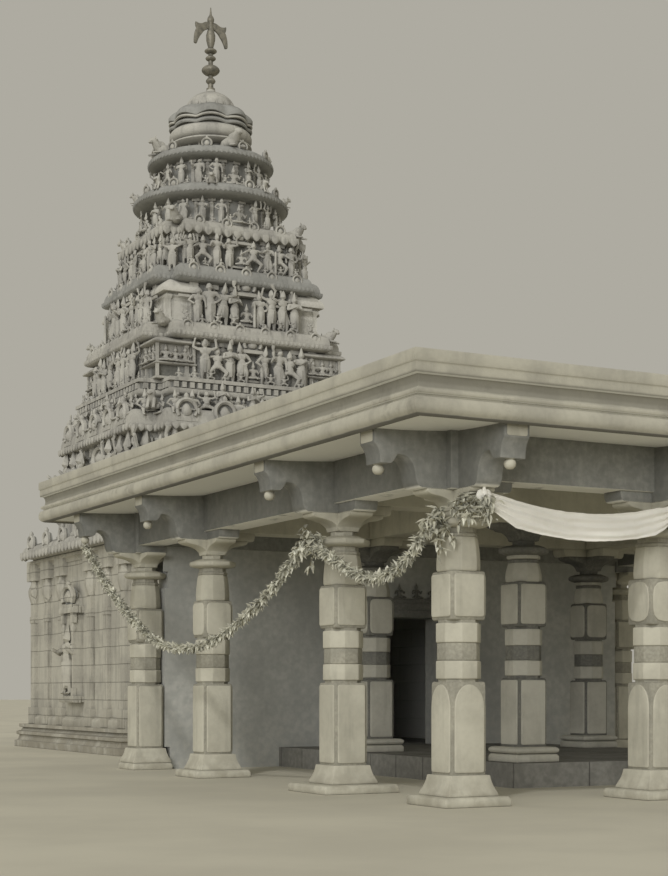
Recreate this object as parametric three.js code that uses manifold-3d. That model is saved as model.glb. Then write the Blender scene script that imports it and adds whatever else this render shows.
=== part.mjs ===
// A South Indian temple: an open nine-bay pillared hall with a deep moulded eave, a closed vestibule
// behind it, and a square sanctum that carries a stepped stucco tower with a lotus dome and a brass finial.
//
// Millimetres, +Z up. The hall's front faces -Y and the temple is symmetric about the plane X = 0.
// The origin is at ground level, under the middle of the whole building. Heights are above the ground.

import * as THREE from "three";
import { mergeVertices } from "three/addons/utils/BufferGeometryUtils.js";
import Module from "manifold-3d";

const wasm = await Module();
wasm.setup();

// Driving dimensions
const SEAT_GAP = 0.3; // clearance between a stone and its seat
const OUTER_LINE = 5600; // outer pillar lines, from the hall's centre
const INNER_LINE = 2400; // inner pillar lines, from the hall's centre
const EAVE_REACH = 1600; // eave edge, out from the outer pillar lines
const HALL_TO_TOWER = 15400; // hall's centre to the tower's centre
const SANCTUM_HALF = 3600; // outer faces of the sanctum walls
const PLINTH_HALF = 4000; // foot of the sanctum plinth
const MAIN_CORNICE_HALF = 4080; // cornice over the sanctum walls

const BEAM_BOTTOM = 4220;
const BEAM_TOP = 4920; // also the top of every wall
const ROOF_TOP = 5530;
const BEAM_WIDTH = 500;
const RAISED_FLOOR = 380; // middle of the hall, and the vestibule
const SANCTUM_FLOOR = 600;
const WALL_THICK = 500; // rear wall of the hall
const VESTIBULE_HALF = 3200;
const VESTIBULE_WALL = 600;
const SANCTUM_WALL = 1200;
const DOOR_HALF = 750;
const DOOR_TOP = 2980;
const SHRINE_DOOR_HALF = 650;
const SHRINE_DOOR_TOP = 2900;

// The building's length runs from the front eave to the back of the sanctum's cornice.
const HALL_Y = (EAVE_REACH + OUTER_LINE - MAIN_CORNICE_HALF - HALL_TO_TOWER) / 2;
const TOWER_Y = HALL_Y + HALL_TO_TOWER;
const REAR_WALL_FRONT = HALL_Y + OUTER_LINE - WALL_THICK / 2;
const REAR_WALL_BACK = HALL_Y + OUTER_LINE + WALL_THICK / 2;
const SANCTUM_FRONT = TOWER_Y - SANCTUM_HALF;

// Materials
const finish = (color, roughness, metalness = 0) =>
  new THREE.MeshStandardMaterial({ color, roughness, metalness });
const WHITEWASH = finish(0xd6d2c2, 0.9);
const SHADED_STONE = finish(0x57544c, 0.85);
const STUCCO = finish(0xa39f92, 0.95);
const PAVING = finish(0x8f8b7d, 0.9);
const BRASS = finish(0x8a7748, 0.45, 0.8);
const CLOTH = finish(0xe6e1d1, 0.95);
const ROPE = finish(0x7d7a5c, 0.95);

const temple = new THREE.Group();

// A closed geometry as a solid that can be joined and cut.
function solid(geometry) {
  const bare = new THREE.BufferGeometry();
  bare.setAttribute("position", geometry.getAttribute("position").clone());
  if (geometry.index) bare.setIndex(geometry.index.clone());
  const merged = mergeVertices(bare, 1e-3);
  const corners = merged.index.array;
  const kept = [];
  for (let i = 0; i < corners.length; i += 3) {
    const [a, b, c] = [corners[i], corners[i + 1], corners[i + 2]];
    if (a !== b && b !== c && c !== a) kept.push(a, b, c);
  }
  return new wasm.Manifold(
    new wasm.Mesh({
      numProp: 3,
      vertProperties: merged.attributes.position.array,
      triVerts: new Uint32Array(kept),
    }),
  );
}

const join = (first, ...rest) => rest.reduce((whole, piece) => whole.add(piece), first);

// A solid back as a geometry.
function geometryOf(shape) {
  const mesh = shape.getMesh();
  const geometry = new THREE.BufferGeometry();
  geometry.setAttribute("position", new THREE.BufferAttribute(mesh.vertProperties, 3));
  geometry.setIndex(new THREE.BufferAttribute(mesh.triVerts, 1));
  geometry.computeVertexNormals();
  return geometry;
}

function addPiece(name, shape, material, x = 0, y = 0, z = 0) {
  const mesh = new THREE.Mesh(geometryOf(shape), material);
  mesh.name = name;
  mesh.position.set(x, y, z);
  temple.add(mesh);
}

// A box between two corners.
function block([x0, y0, z0], [x1, y1, z1]) {
  const box = new THREE.BoxGeometry(x1 - x0, y1 - y0, z1 - z0);
  return solid(box.translate((x0 + x1) / 2, (y0 + y1) / 2, (z0 + z1) / 2));
}

// A box centred on the Z axis, from z0 to z1.
const post = (half, z0, z1, halfY = half) => block([-half, -halfY, z0], [half, halfY, z1]);

// A moulding of a flat-sided plan. Each outline point is [half width across the flats, height].
function moulding(outline, sides, stretchX = 1, stretchY = 1) {
  const toCorner = 1 / Math.cos(Math.PI / sides);
  const points = outline.map(([half, z]) => new THREE.Vector2(half * toCorner, z));
  const turned = new THREE.LatheGeometry(points, sides, Math.PI / sides);
  return solid(turned.rotateX(Math.PI / 2).scale(stretchX, stretchY, 1));
}

// A solid moulding, closed on its axis below and above.
function course(outline, sides, stretchX, stretchY) {
  const closed = [[0, outline[0][1]], ...outline, [0, outline[outline.length - 1][1]]];
  return moulding(closed, sides, stretchX, stretchY);
}

// A side view in (out, up) made into a plate of a given thickness, pointing along +X.
function plate(shape, thickness) {
  const extruded = new THREE.ExtrudeGeometry(shape, {
    depth: thickness,
    bevelEnabled: false,
    curveSegments: 3,
  });
  return solid(extruded.translate(0, 0, -thickness / 2).rotateX(Math.PI / 2));
}

const turned = (shape, degrees) => shape.rotate([0, 0, degrees]);

// The four directions out of a point in the plan, in degrees.
const SIDES = { right: 0, back: 90, left: 180, front: 270 };

// Pillars of the hall
const SHAFT_HALF = 280;
const BLOCK_BASE = 400; // foot of the lower square block, above the ground
const INNER_BASE = 240; // the same above the raised floor
const LOWER_BLOCK_TOP = 1610;
const UPPER_BLOCK_BOTTOM = 2400;
const UPPER_BLOCK_TOP = 3040;
const NECK_TOP = 3600;
const ABACUS_HALF = 370;
const ABACUS_TOP = 3750;
const NECK_HALF = 170; // between the abacus and the bracket
const BRACKET_WIDTH = 380;
const BRACKET_REACH = 580; // the capital's four arms
const BRACKET_FOOT = 3820;
const BRACKET_TOP = 4080; // the corbels under the beams rest on it
const CORBEL_REACH = 720;
const STRUT_WIDTH = 380;
const STRUT_REACH = 1360; // outward strut under the eave
const STRUT_BUD = 4230; // underside of the bud at the strut's end
const STRUT_BUD_REACH = 1200;
const EAVE_LIP = 4790; // underside of the eave at its outer lip
const EAVE_LIP_REACH = 1380;

const EAVE_FALL = (BEAM_TOP - EAVE_LIP) / (EAVE_LIP_REACH - BEAM_WIDTH / 2);
const eaveUnderside = (reach) => BEAM_TOP - (reach - BEAM_WIDTH / 2) * EAVE_FALL;

function shaft(floor, padHalf) {
  const foot = floor + 130;
  const base = floor + (floor ? INNER_BASE : BLOCK_BASE);
  const flare = course([[380, foot], [370, foot + 50], [300, base]], 4);
  const pad = post(padHalf, floor + SEAT_GAP * Math.sign(floor), foot);
  const blocks = join(
    post(SHAFT_HALF, base, LOWER_BLOCK_TOP),
    post(SHAFT_HALF - 5, UPPER_BLOCK_BOTTOM, UPPER_BLOCK_TOP),
  );
  const bands = course(
    [
      [252, LOWER_BLOCK_TOP], [252, 1640], [275, 1640], [275, 1880], [260, 1880],
      [260, 2110], [275, 2110], [275, 2370], [252, 2370], [252, UPPER_BLOCK_BOTTOM],
    ],
    8,
  );
  const neck = course(
    [[262, UPPER_BLOCK_TOP], [270, 3120], [232, 3480], [215, 3520], [215, NECK_TOP]],
    8,
  );
  const abacus = course(
    [[250, NECK_TOP], [ABACUS_HALF, 3650], [ABACUS_HALF, 3700], [250, ABACUS_TOP],
      [NECK_HALF, ABACUS_TOP], [NECK_HALF, BRACKET_FOOT + 20]],
    8,
  );
  return join(pad, flare, blocks, bands, neck, abacus);
}

// Side view of one arm of a capital, with a hollow-curved belly.
function armShape() {
  const shape = new THREE.Shape();
  shape.moveTo(0, BRACKET_FOOT);
  shape.lineTo(NECK_HALF - 20, BRACKET_FOOT);
  shape.quadraticCurveTo(NECK_HALF + 40, 3960, 430, 3990);
  shape.quadraticCurveTo(BRACKET_REACH, 4010, BRACKET_REACH, 4050);
  shape.lineTo(BRACKET_REACH, BRACKET_TOP - SEAT_GAP);
  shape.lineTo(0, BRACKET_TOP - SEAT_GAP);
  return shape;
}

function pillar(floor, padHalf) {
  const arms = Object.values(SIDES).map((degrees) =>
    turned(plate(armShape(), BRACKET_WIDTH), degrees),
  );
  return join(shaft(floor, padHalf), ...arms);
}

// A corbel's arm: a short block under a beam, rounded at its end.
function corbel() {
  const shape = new THREE.Shape();
  shape.moveTo(0, BRACKET_TOP);
  shape.lineTo(CORBEL_REACH - 60, BRACKET_TOP);
  shape.quadraticCurveTo(CORBEL_REACH, BRACKET_TOP + 10, CORBEL_REACH, BEAM_BOTTOM + 10);
  shape.lineTo(0, BEAM_BOTTOM + 10);
  return plate(shape, STRUT_WIDTH);
}

// A strut: an arm that carries the eave, with two curved steps and a hanging bud at its end.
function strut() {
  const bud = STRUT_BUD_REACH;
  const shape = new THREE.Shape();
  shape.moveTo(0, BRACKET_TOP);
  shape.lineTo(660, BRACKET_TOP);
  shape.quadraticCurveTo(750, 4100, 760, 4260);
  shape.quadraticCurveTo(800, 4500, 1020, 4480);
  shape.quadraticCurveTo(bud - 120, STRUT_BUD + 20, bud - 40, STRUT_BUD);
  shape.lineTo(bud + 40, STRUT_BUD);
  shape.quadraticCurveTo(bud + 110, STRUT_BUD + 80, bud + 60, 4440);
  shape.quadraticCurveTo(bud + 60, 4560, STRUT_REACH, 4610);
  shape.lineTo(STRUT_REACH, eaveUnderside(STRUT_REACH) - SEAT_GAP);
  shape.lineTo(BEAM_WIDTH / 2, BEAM_TOP - SEAT_GAP);
  shape.lineTo(0, BEAM_TOP - SEAT_GAP);
  return plate(shape, STRUT_WIDTH);
}

const ROWS = { front: -OUTER_LINE, second: -INNER_LINE, third: INNER_LINE, back: OUTER_LINE };
const LINES = { left: -OUTER_LINE, mid_left: -INNER_LINE, mid_right: INNER_LINE, right: OUTER_LINE };
const PAD_HALF = 500;
const WIDE_PAD_HALF = 610; // the second pillar on each side stands on a broader pad
const BACK_PAD_HALF = 400;

function addPillars() {
  for (const [row, y] of Object.entries(ROWS)) {
    for (const [line, x] of Object.entries(LINES)) {
      const outerLine = Math.abs(x) === OUTER_LINE;
      if (row === "back" && !outerLine) continue;
      const inner = !outerLine && row !== "front";
      const broad = row === "second" && outerLine;
      const padHalf = row === "back" || inner ? BACK_PAD_HALF : broad ? WIDE_PAD_HALF : PAD_HALF;
      const shape = pillar(inner ? RAISED_FLOOR : 0, padHalf);
      addPiece(`pillar_${row}_${line}`, shape, WHITEWASH, x, HALL_Y + y);
    }
  }
}

// Room that a pillar takes out of the rear wall beside it.
function pillarPocket(x, y) {
  const room = join(
    post(BACK_PAD_HALF + 1, -1, 420),
    post(SHAFT_HALF + 25, 400, NECK_TOP + 1),
    post(ABACUS_HALF + 1, NECK_TOP - 160, ABACUS_TOP + 1),
    post(BRACKET_REACH + 1, ABACUS_TOP, BRACKET_TOP + 1, BRACKET_WIDTH / 2 + 1),
    post(CORBEL_REACH + 1, BRACKET_TOP - 1, BEAM_BOTTOM + 1, STRUT_WIDTH / 2 + 1),
  );
  return room.translate([x, y, 0]);
}

// Beams on the pillars, each with its corbels. The outer ones carry the struts.
function addBeams() {
  const half = BEAM_WIDTH / 2;
  const end = OUTER_LINE + half;
  const inside = OUTER_LINE - half - SEAT_GAP;
  const between = INNER_LINE - half - SEAT_GAP;
  const beam = (x0, x1, y0, y1) =>
    block([x0, HALL_Y + y0, BEAM_BOTTOM], [x1, HALL_Y + y1, BEAM_TOP - SEAT_GAP]);
  const arm = (x, y, side) => turned(corbel(), SIDES[side]).translate([x, HALL_Y + y, 0]);
  const strutAt = (x, y, side) => turned(strut(), SIDES[side]).translate([x, HALL_Y + y, 0]);
  // Corbels are cut where the beam that they belong to meets another one.
  const room = (x0, x1, y0, y1) =>
    block([x0, HALL_Y + y0, 0], [x1, HALL_Y + y1, BEAM_TOP]);
  const { front, second, third, back } = ROWS;
  const inner = [-INNER_LINE, INNER_LINE];

  const alongRow = (y, side) => [
    ...inner.flatMap((x) => [arm(x, y, "left"), arm(x, y, "right"), strutAt(x, y, side)]),
    arm(-OUTER_LINE, y, "right"), arm(OUTER_LINE, y, "left"),
    strutAt(-OUTER_LINE, y, side), strutAt(OUTER_LINE, y, side),
    strutAt(-OUTER_LINE, y, "left"), strutAt(OUTER_LINE, y, "right"),
  ];
  const beamFront = join(beam(-end, end, -end, -OUTER_LINE + half), ...alongRow(front, "front"));
  addPiece("beam_front", beamFront, SHADED_STONE);

  const wallRun = room(-OUTER_LINE + CORBEL_REACH, OUTER_LINE - CORBEL_REACH, -end, end * 2);
  const corners = alongRow(back, "back").map((piece) => piece.subtract(wallRun));
  const beamBack = join(beam(-end, end, OUTER_LINE - half, end), ...corners.filter((c) => !c.isEmpty()));
  addPiece("beam_back", beamBack, SHADED_STONE);

  const sideRoom = room(-end - STRUT_REACH, 0, -inside, inside);
  const sideArms = [
    arm(-OUTER_LINE, front, "back"), arm(-OUTER_LINE, back, "front"),
    ...[second, third].flatMap((y) => [
      arm(-OUTER_LINE, y, "front"), arm(-OUTER_LINE, y, "back"), strutAt(-OUTER_LINE, y, "left"),
    ]),
  ];
  const beamLeft = join(
    beam(-end, -OUTER_LINE + half, -inside, inside),
    ...sideArms.map((piece) => piece.intersect(sideRoom)),
  );
  addPiece("beam_left", beamLeft, SHADED_STONE);
  addPiece("beam_right", beamLeft.mirror([1, 0, 0]), SHADED_STONE);

  for (const [name, y] of [["second", second], ["third", third]]) {
    const arms = [
      arm(-OUTER_LINE, y, "right"), arm(OUTER_LINE, y, "left"),
      ...inner.flatMap((x) => [arm(x, y, "left"), arm(x, y, "right")]),
    ];
    const crossRoom = room(-inside, inside, y - half, y + half);
    const cross = join(
      beam(-inside, inside, y - half, y + half),
      ...arms.map((piece) => piece.intersect(crossRoom)),
    );
    addPiece(`beam_${name}`, cross, WHITEWASH);
  }

  const midRoom = room(-INNER_LINE - half, 0, -between, between);
  const midArms = [arm(-INNER_LINE, second, "back"), arm(-INNER_LINE, third, "front")];
  const beamMid = join(
    beam(-INNER_LINE - half, -between, -between, between),
    ...midArms.map((piece) => piece.intersect(midRoom)),
  );
  addPiece("beam_mid_left", beamMid, WHITEWASH);
  addPiece("beam_mid_right", beamMid.mirror([1, 0, 0]), WHITEWASH);
}

// Eave of the hall: an outline in [out from the pillar line, height], mitred at the corners
const EAVE_OUTLINE = [
  [0, BEAM_TOP], [BEAM_WIDTH / 2, BEAM_TOP], [EAVE_LIP_REACH, EAVE_LIP], [1440, 4745],
  [1540, 4760], [1600, 4830], [1600, 4900], [1560, 4965], [1520, 4975], [1520, 5000],
  [1560, 5010], [1560, 5060], [1505, 5075], [1490, 5150], [1520, 5235], [1575, 5245],
  [1575, 5375], [EAVE_REACH, 5385], [EAVE_REACH, ROOF_TOP], [0, ROOF_TOP],
];

function addEaves() {
  const ring = moulding(
    [...EAVE_OUTLINE, EAVE_OUTLINE[0]].map(([out, z]) => [OUTER_LINE + out, z]),
    4,
  );
  const far = OUTER_LINE + EAVE_REACH + 100;
  const wedge = new THREE.Shape();
  wedge.moveTo(SEAT_GAP, 0);
  wedge.lineTo(far, far - SEAT_GAP);
  wedge.lineTo(far, -far + SEAT_GAP);
  const sector = solid(
    new THREE.ExtrudeGeometry(wedge, { depth: ROOF_TOP * 2, bevelEnabled: false }),
  );
  for (const side of ["front", "left", "right"]) {
    addPiece(`eave_${side}`, ring.intersect(turned(sector, SIDES[side])), WHITEWASH, 0, HALL_Y);
  }
  const back = ring.intersect(turned(sector, SIDES.back));
  const stop = VESTIBULE_HALF + VESTIBULE_CORNICE + SEAT_GAP;
  const leftOnly = block([-far, 0, 0], [-stop, far, ROOF_TOP * 2]);
  const rightOnly = block([stop, 0, 0], [far, far, ROOF_TOP * 2]);
  addPiece("eave_back_left", back.intersect(leftOnly), WHITEWASH, 0, HALL_Y);
  addPiece("eave_back_right", back.intersect(rightOnly), WHITEWASH, 0, HALL_Y);
}

// Hall roof, floor and rear wall
function addHall() {
  const edge = OUTER_LINE - SEAT_GAP;
  const roof = block([-edge, HALL_Y - edge, BEAM_TOP], [edge, HALL_Y + edge, ROOF_TOP]);
  addPiece("roof_slab", roof, PAVING);

  const floorHalf = INNER_LINE + 500;
  const floorTop = RAISED_FLOOR - SEAT_GAP;
  const floor = block(
    [-floorHalf, HALL_Y - floorHalf, 0],
    [floorHalf, REAR_WALL_FRONT - SEAT_GAP, floorTop],
  );
  addPiece("raised_floor", floor, PAVING);

  const wallEnd = OUTER_LINE - SHAFT_HALF - 1;
  const wallTop = BEAM_BOTTOM - SEAT_GAP;
  const wall = (x0, x1, z0) =>
    block([x0, REAR_WALL_FRONT, z0], [x1, REAR_WALL_BACK, wallTop]);
  const pocketY = HALL_Y + OUTER_LINE;
  const left = wall(-wallEnd, -DOOR_HALF, 0).subtract(pillarPocket(-OUTER_LINE, pocketY));
  const right = wall(DOOR_HALF, wallEnd, 0).subtract(pillarPocket(OUTER_LINE, pocketY));
  addPiece("rear_wall_left", left, WHITEWASH);
  addPiece("rear_wall_right", right, WHITEWASH);
  addPiece("rear_wall_lintel", wall(-DOOR_HALF, DOOR_HALF, DOOR_TOP), WHITEWASH);
}

// Vestibule between the hall and the sanctum
const VESTIBULE_CORNICE = 350;

function addVestibule() {
  const inside = VESTIBULE_HALF - VESTIBULE_WALL;
  const wallStart = REAR_WALL_BACK + SEAT_GAP;
  const plinthRoom = block(
    [-PLINTH_HALF * 2, TOWER_Y - PLINTH_HALF - SEAT_GAP, -1],
    [PLINTH_HALF * 2, TOWER_Y, SANCTUM_FLOOR + SEAT_GAP],
  );
  const wallTop = BEAM_TOP - SEAT_GAP;
  const wallLength = SANCTUM_FRONT - SEAT_GAP - wallStart;
  for (const side of [-1, 1]) {
    const [x0, x1] = side < 0 ? [-VESTIBULE_HALF, -inside] : [inside, VESTIBULE_HALF];
    let wall = block([x0, wallStart, 0], [x1, SANCTUM_FRONT - SEAT_GAP, wallTop]);
    for (const share of [0.28, 0.62]) {
      const y = wallStart + wallLength * share;
      const outer = side * VESTIBULE_HALF;
      const xs = [outer - 10, outer + side * 70].sort((a, b) => a - b);
      wall = wall.add(block([xs[0], y - 160, 0], [xs[1], y + 160, wallTop]));
    }
    const foot = [side * (VESTIBULE_HALF - 10), side * (VESTIBULE_HALF + 120)].sort((a, b) => a - b);
    wall = wall.add(block([foot[0], wallStart, 0], [foot[1], SANCTUM_FRONT - 500, 450]));
    const name = side < 0 ? "vestibule_wall_left" : "vestibule_wall_right";
    addPiece(name, wall.subtract(plinthRoom), WHITEWASH);
  }

  const floorTop = RAISED_FLOOR - SEAT_GAP;
  const floor = join(
    block(
      [-inside + 1, wallStart, 0],
      [inside - 1, TOWER_Y - PLINTH_HALF - SEAT_GAP, floorTop],
    ),
    block([-DOOR_HALF + 1, REAR_WALL_FRONT, 0], [DOOR_HALF - 1, wallStart + 1, floorTop]),
  );
  addPiece("vestibule_floor", floor, PAVING);

  const roofStart = HALL_Y + OUTER_LINE + SEAT_GAP;
  const roofEnd = TOWER_Y - MAIN_CORNICE_HALF - SEAT_GAP;
  const outline = [
    [VESTIBULE_HALF, BEAM_TOP], [VESTIBULE_HALF + VESTIBULE_CORNICE, 4960],
    [VESTIBULE_HALF + VESTIBULE_CORNICE, 5080], [VESTIBULE_HALF + 200, 5200],
    [VESTIBULE_HALF + 60, 5230], [VESTIBULE_HALF + 60, 5400], [VESTIBULE_HALF + 140, 5410],
    [VESTIBULE_HALF + 140, ROOF_TOP],
  ];
  const section = new THREE.Shape();
  outline.forEach(([x, z], i) => (i ? section.lineTo(x, z) : section.moveTo(x, z)));
  outline.toReversed().forEach(([x, z]) => section.lineTo(-x, z));
  const roof = new THREE.ExtrudeGeometry(section, {
    depth: roofEnd - roofStart,
    bevelEnabled: false,
  });
  addPiece("vestibule_roof", solid(roof.rotateX(Math.PI / 2)), WHITEWASH, 0, roofEnd);
}

// Sanctum under the tower

const PILASTER_WIDTH = 300;
const PILASTER_PROUD = 80;
const PILASTER_PLACES = [-3400, -2250, -1100, 1100, 2250, 3400];
const NICHE_FOOT = 1350;
const NICHE_TOP = 3400;
const ARCH_FOOT = 3560;
const SEAM = 10; // how far joined pieces reach into each other

// A flat pilaster on an outer face that looks along -Y.
function pilaster(x) {
  const half = PILASTER_WIDTH / 2;
  return block(
    [x - half, -SANCTUM_HALF - PILASTER_PROUD, SANCTUM_FLOOR],
    [x + half, -SANCTUM_HALF + SEAM, BEAM_TOP - SEAT_GAP],
  );
}

// The niche in the middle of that face: a panel between two ledges, under an arch.
function wallNiche() {
  const inside = -SANCTUM_HALF + SEAM;
  const arch = new THREE.Shape().absarc(0, ARCH_FOOT, 400, 0, Math.PI, false);
  return join(
    block([-420, -SANCTUM_HALF - 200, NICHE_FOOT], [420, inside, NICHE_TOP]),
    block([-520, -SANCTUM_HALF - 260, NICHE_TOP], [520, inside, ARCH_FOOT]),
    block([-520, -SANCTUM_HALF - 260, NICHE_FOOT - 150], [520, inside, NICHE_FOOT]),
    plate(arch, 180).translate([0, -SANCTUM_HALF - 80, 0]),
  );
}

function addSanctum() {
  const plinth = course(
    [
      [PLINTH_HALF, 0], [PLINTH_HALF, 160], [3930, 180], [3890, 300], [3960, 330],
      [3960, 400], [3860, 440], [3820, 500], [3900, 520], [3900, SANCTUM_FLOOR - SEAT_GAP],
    ],
    4,
  );
  addPiece("sanctum_plinth", plinth, PAVING, 0, TOWER_Y);

  const top = BEAM_TOP - SEAT_GAP;
  const inside = SANCTUM_HALF - SANCTUM_WALL;
  const face = (half) =>
    join(
      block([-half, -SANCTUM_HALF, SANCTUM_FLOOR], [half, -inside, top]),
      ...PILASTER_PLACES.filter((x) => Math.abs(x) < half).map(pilaster),
      wallNiche(),
    );
  const sideWall = face(inside - SEAT_GAP);
  addPiece("sanctum_wall_back", turned(face(SANCTUM_HALF), 180), WHITEWASH, 0, TOWER_Y);
  addPiece("sanctum_wall_left", turned(sideWall, 270), WHITEWASH, 0, TOWER_Y);
  addPiece("sanctum_wall_right", turned(sideWall, 90), WHITEWASH, 0, TOWER_Y);

  const frontBlock = (x0, x1, z0) =>
    block([x0, -SANCTUM_HALF, z0], [x1, -inside, top]);
  const plainLeft = frontBlock(-SANCTUM_HALF, -SHRINE_DOOR_HALF, SANCTUM_FLOOR);
  const frontLeft = plainLeft.add(pilaster(PILASTER_PLACES[0]));
  addPiece("sanctum_front_left", frontLeft, WHITEWASH, 0, TOWER_Y);
  addPiece("sanctum_front_right", frontLeft.mirror([1, 0, 0]), WHITEWASH, 0, TOWER_Y);
  const lintel = frontBlock(-SHRINE_DOOR_HALF, SHRINE_DOOR_HALF, SHRINE_DOOR_TOP);
  addPiece("sanctum_lintel", lintel, WHITEWASH, 0, TOWER_Y);
}

// Tower. A storey's plan is a square with notched corners: two crossed rectangles.
const NOTCH = 0.8;

const notched = (outline) =>
  join(course(outline, 4, NOTCH, 1), course(outline, 4, 1, NOTCH));

// A niche with pilasters, a ledge and a horseshoe gable, on a face that looks along -Y.
function gabledNiche(wallHalf, width, foot, height, proud) {
  const back = -wallHalf + 60;
  const gable = new THREE.Shape().absarc(0, foot + height, width * 0.5, 0, Math.PI, false);
  return join(
    block([-width / 2, -wallHalf - proud, foot], [width / 2, back, foot + height]),
    block(
      [-width * 0.6, -wallHalf - proud - 60, foot + height - 90],
      [width * 0.6, back, foot + height],
    ),
    plate(gable, proud).translate([0, -wallHalf - proud / 2 + 10, 0]),
  );
}

// A small square shrine with a domed roof, for a storey's corners.
function cornerShrine(half, foot, height) {
  const eave = foot + height * 0.58;
  return course(
    [
      [half, foot], [half, eave - half * 0.2], [half * 1.3, eave], [half * 1.3, eave + half * 0.15],
      [half * 0.85, eave + half * 0.3], [half * 1.0, eave + half * 0.55],
      [half * 0.75, foot + height * 0.88], [half * 0.2, foot + height],
    ],
    4,
  );
}

// Each storey: foot and top, wall half width, height of the wall and the cornice outline above it.
const STOREYS = [
  {
    name: "tower_storey_1", foot: 5400, wall: 2900, wallTop: 7650, niche: 1500, shrine: 330,
    cornice: [[3150, 7690], [3280, 7840], [3250, 8020], [3050, 8220], [2750, 8260]],
  },
  {
    name: "tower_storey_2", foot: 8950, wall: 2400, wallTop: 9950, niche: 1150, shrine: 230,
    cornice: [[2640, 9990], [2700, 10060], [2700, 10170], [2600, 10330], [2400, 10400]],
  },
  {
    name: "tower_storey_3", foot: 10400, wall: 2020, wallTop: 11440, niche: 950, shrine: 210,
    cornice: [[2230, 11490], [2320, 11590], [2280, 11740], [2100, 11870], [1950, 11900]],
  },
  {
    name: "tower_storey_4", foot: 11900, wall: 1720, wallTop: 12740, niche: 800, shrine: 180,
    cornice: [[1900, 12790], [1970, 12880], [1900, 13000], [1740, 13080], [1650, 13100]],
  },
];

// The band of two ledges between the first and the second storey
const STRING_COURSE = [
  [2750, 8260 + SEAT_GAP], [2750, 8540], [2870, 8590], [2870, 8680], [2770, 8690], [2770, 8850],
  [2870, 8860], [2870, 8950],
];

// Where a storey's corner shrines stand, out from the tower's axis.
const shrineSpot = (wall) => wall * NOTCH + 60;

function storey({ foot, wall, wallTop, niche, shrine, cornice }) {
  const bottom = foot + SEAT_GAP;
  const body = notched([
    [wall + 90, bottom], [wall + 90, foot + 110], [wall, foot + 150], [wall, wallTop], ...cornice,
  ]);
  const height = wallTop - foot;
  const parts = [];
  for (const degrees of Object.values(SIDES)) {
    parts.push(turned(gabledNiche(wall, niche * 0.62, bottom, height * 0.6, 150), degrees));
    const spot = shrineSpot(wall);
    parts.push(turned(cornerShrine(shrine, bottom, height).translate([spot, spot, 0]), degrees));
  }
  return join(body, ...parts);
}

// The two round storeys above them, described in the same way
const ROUND_STOREYS = [
  {
    name: "tower_storey_5", foot: 13100, wall: 1480, wallTop: 13760,
    cornice: [
      [1780, 13790], [1990, 13870], [2000, 13930], [1800, 14050], [1500, 14130], [1400, 14150],
    ],
  },
  {
    name: "tower_storey_6", foot: 14150, wall: 1180, wallTop: 14840,
    cornice: [
      [1440, 14870], [1610, 14950], [1620, 15010], [1400, 15130], [1100, 15190], [1000, 15200],
    ],
  },
];

function roundStorey({ foot, wall, wallTop, cornice }) {
  const bottom = foot + SEAT_GAP;
  const outline = [
    [wall + 70, bottom], [wall + 70, foot + 90], [wall, foot + 120], [wall, wallTop], ...cornice,
  ];
  const height = (wallTop - foot) * 0.55;
  const niches = Object.values(SIDES).map((degrees) =>
    turned(gabledNiche(wall, wall * 0.36, bottom, height, 130), degrees),
  );
  return join(course(outline, 16), ...niches);
}

function addTower() {
  const mainCornice = notched([
    [SANCTUM_HALF, BEAM_TOP], [4000, 4990], [MAIN_CORNICE_HALF, 5070], [MAIN_CORNICE_HALF, 5130],
    [3900, 5300], [3600, 5370], [3600, 5400],
  ]);
  const slab = post(SANCTUM_HALF, BEAM_TOP, 5400);
  addPiece("tower_main_cornice", mainCornice.add(slab), WHITEWASH, 0, TOWER_Y);

  for (const level of STOREYS) addPiece(level.name, storey(level), STUCCO, 0, TOWER_Y);
  addPiece("tower_string_course", notched(STRING_COURSE), STUCCO, 0, TOWER_Y);

  for (const level of ROUND_STOREYS) addPiece(level.name, roundStorey(level), STUCCO, 0, TOWER_Y);

  const neck = course(
    [
      [860, 15200 + SEAT_GAP], [860, 15260], [720, 15290], [720, 15420], [1000, 15440],
      [1060, 15480], [1060, 15520],
    ],
    16,
  );
  addPiece("tower_neck", neck, STUCCO, 0, TOWER_Y);
  const dome = course(
    [
      [940, 15520 + SEAT_GAP], [940, 15560], [1070, 15640], [1075, 15740], [990, 15830],
      [985, 15900], [1050, 15960], [1085, 16080], [1080, 16200], [900, 16370], [640, 16480],
      [590, 16520], [560, 16640], [470, 16750], [320, 16860], [180, 16930], [120, 17000],
    ],
    16,
  );
  addPiece("tower_dome", dome, STUCCO, 0, TOWER_Y);
}

// Brass finial: a stack of pots on a stem, under a curled crest
const FINIAL_FOOT = 17000;
const CREST_FOOT = 18100;
const TOWER_TOP = 19150;

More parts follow.
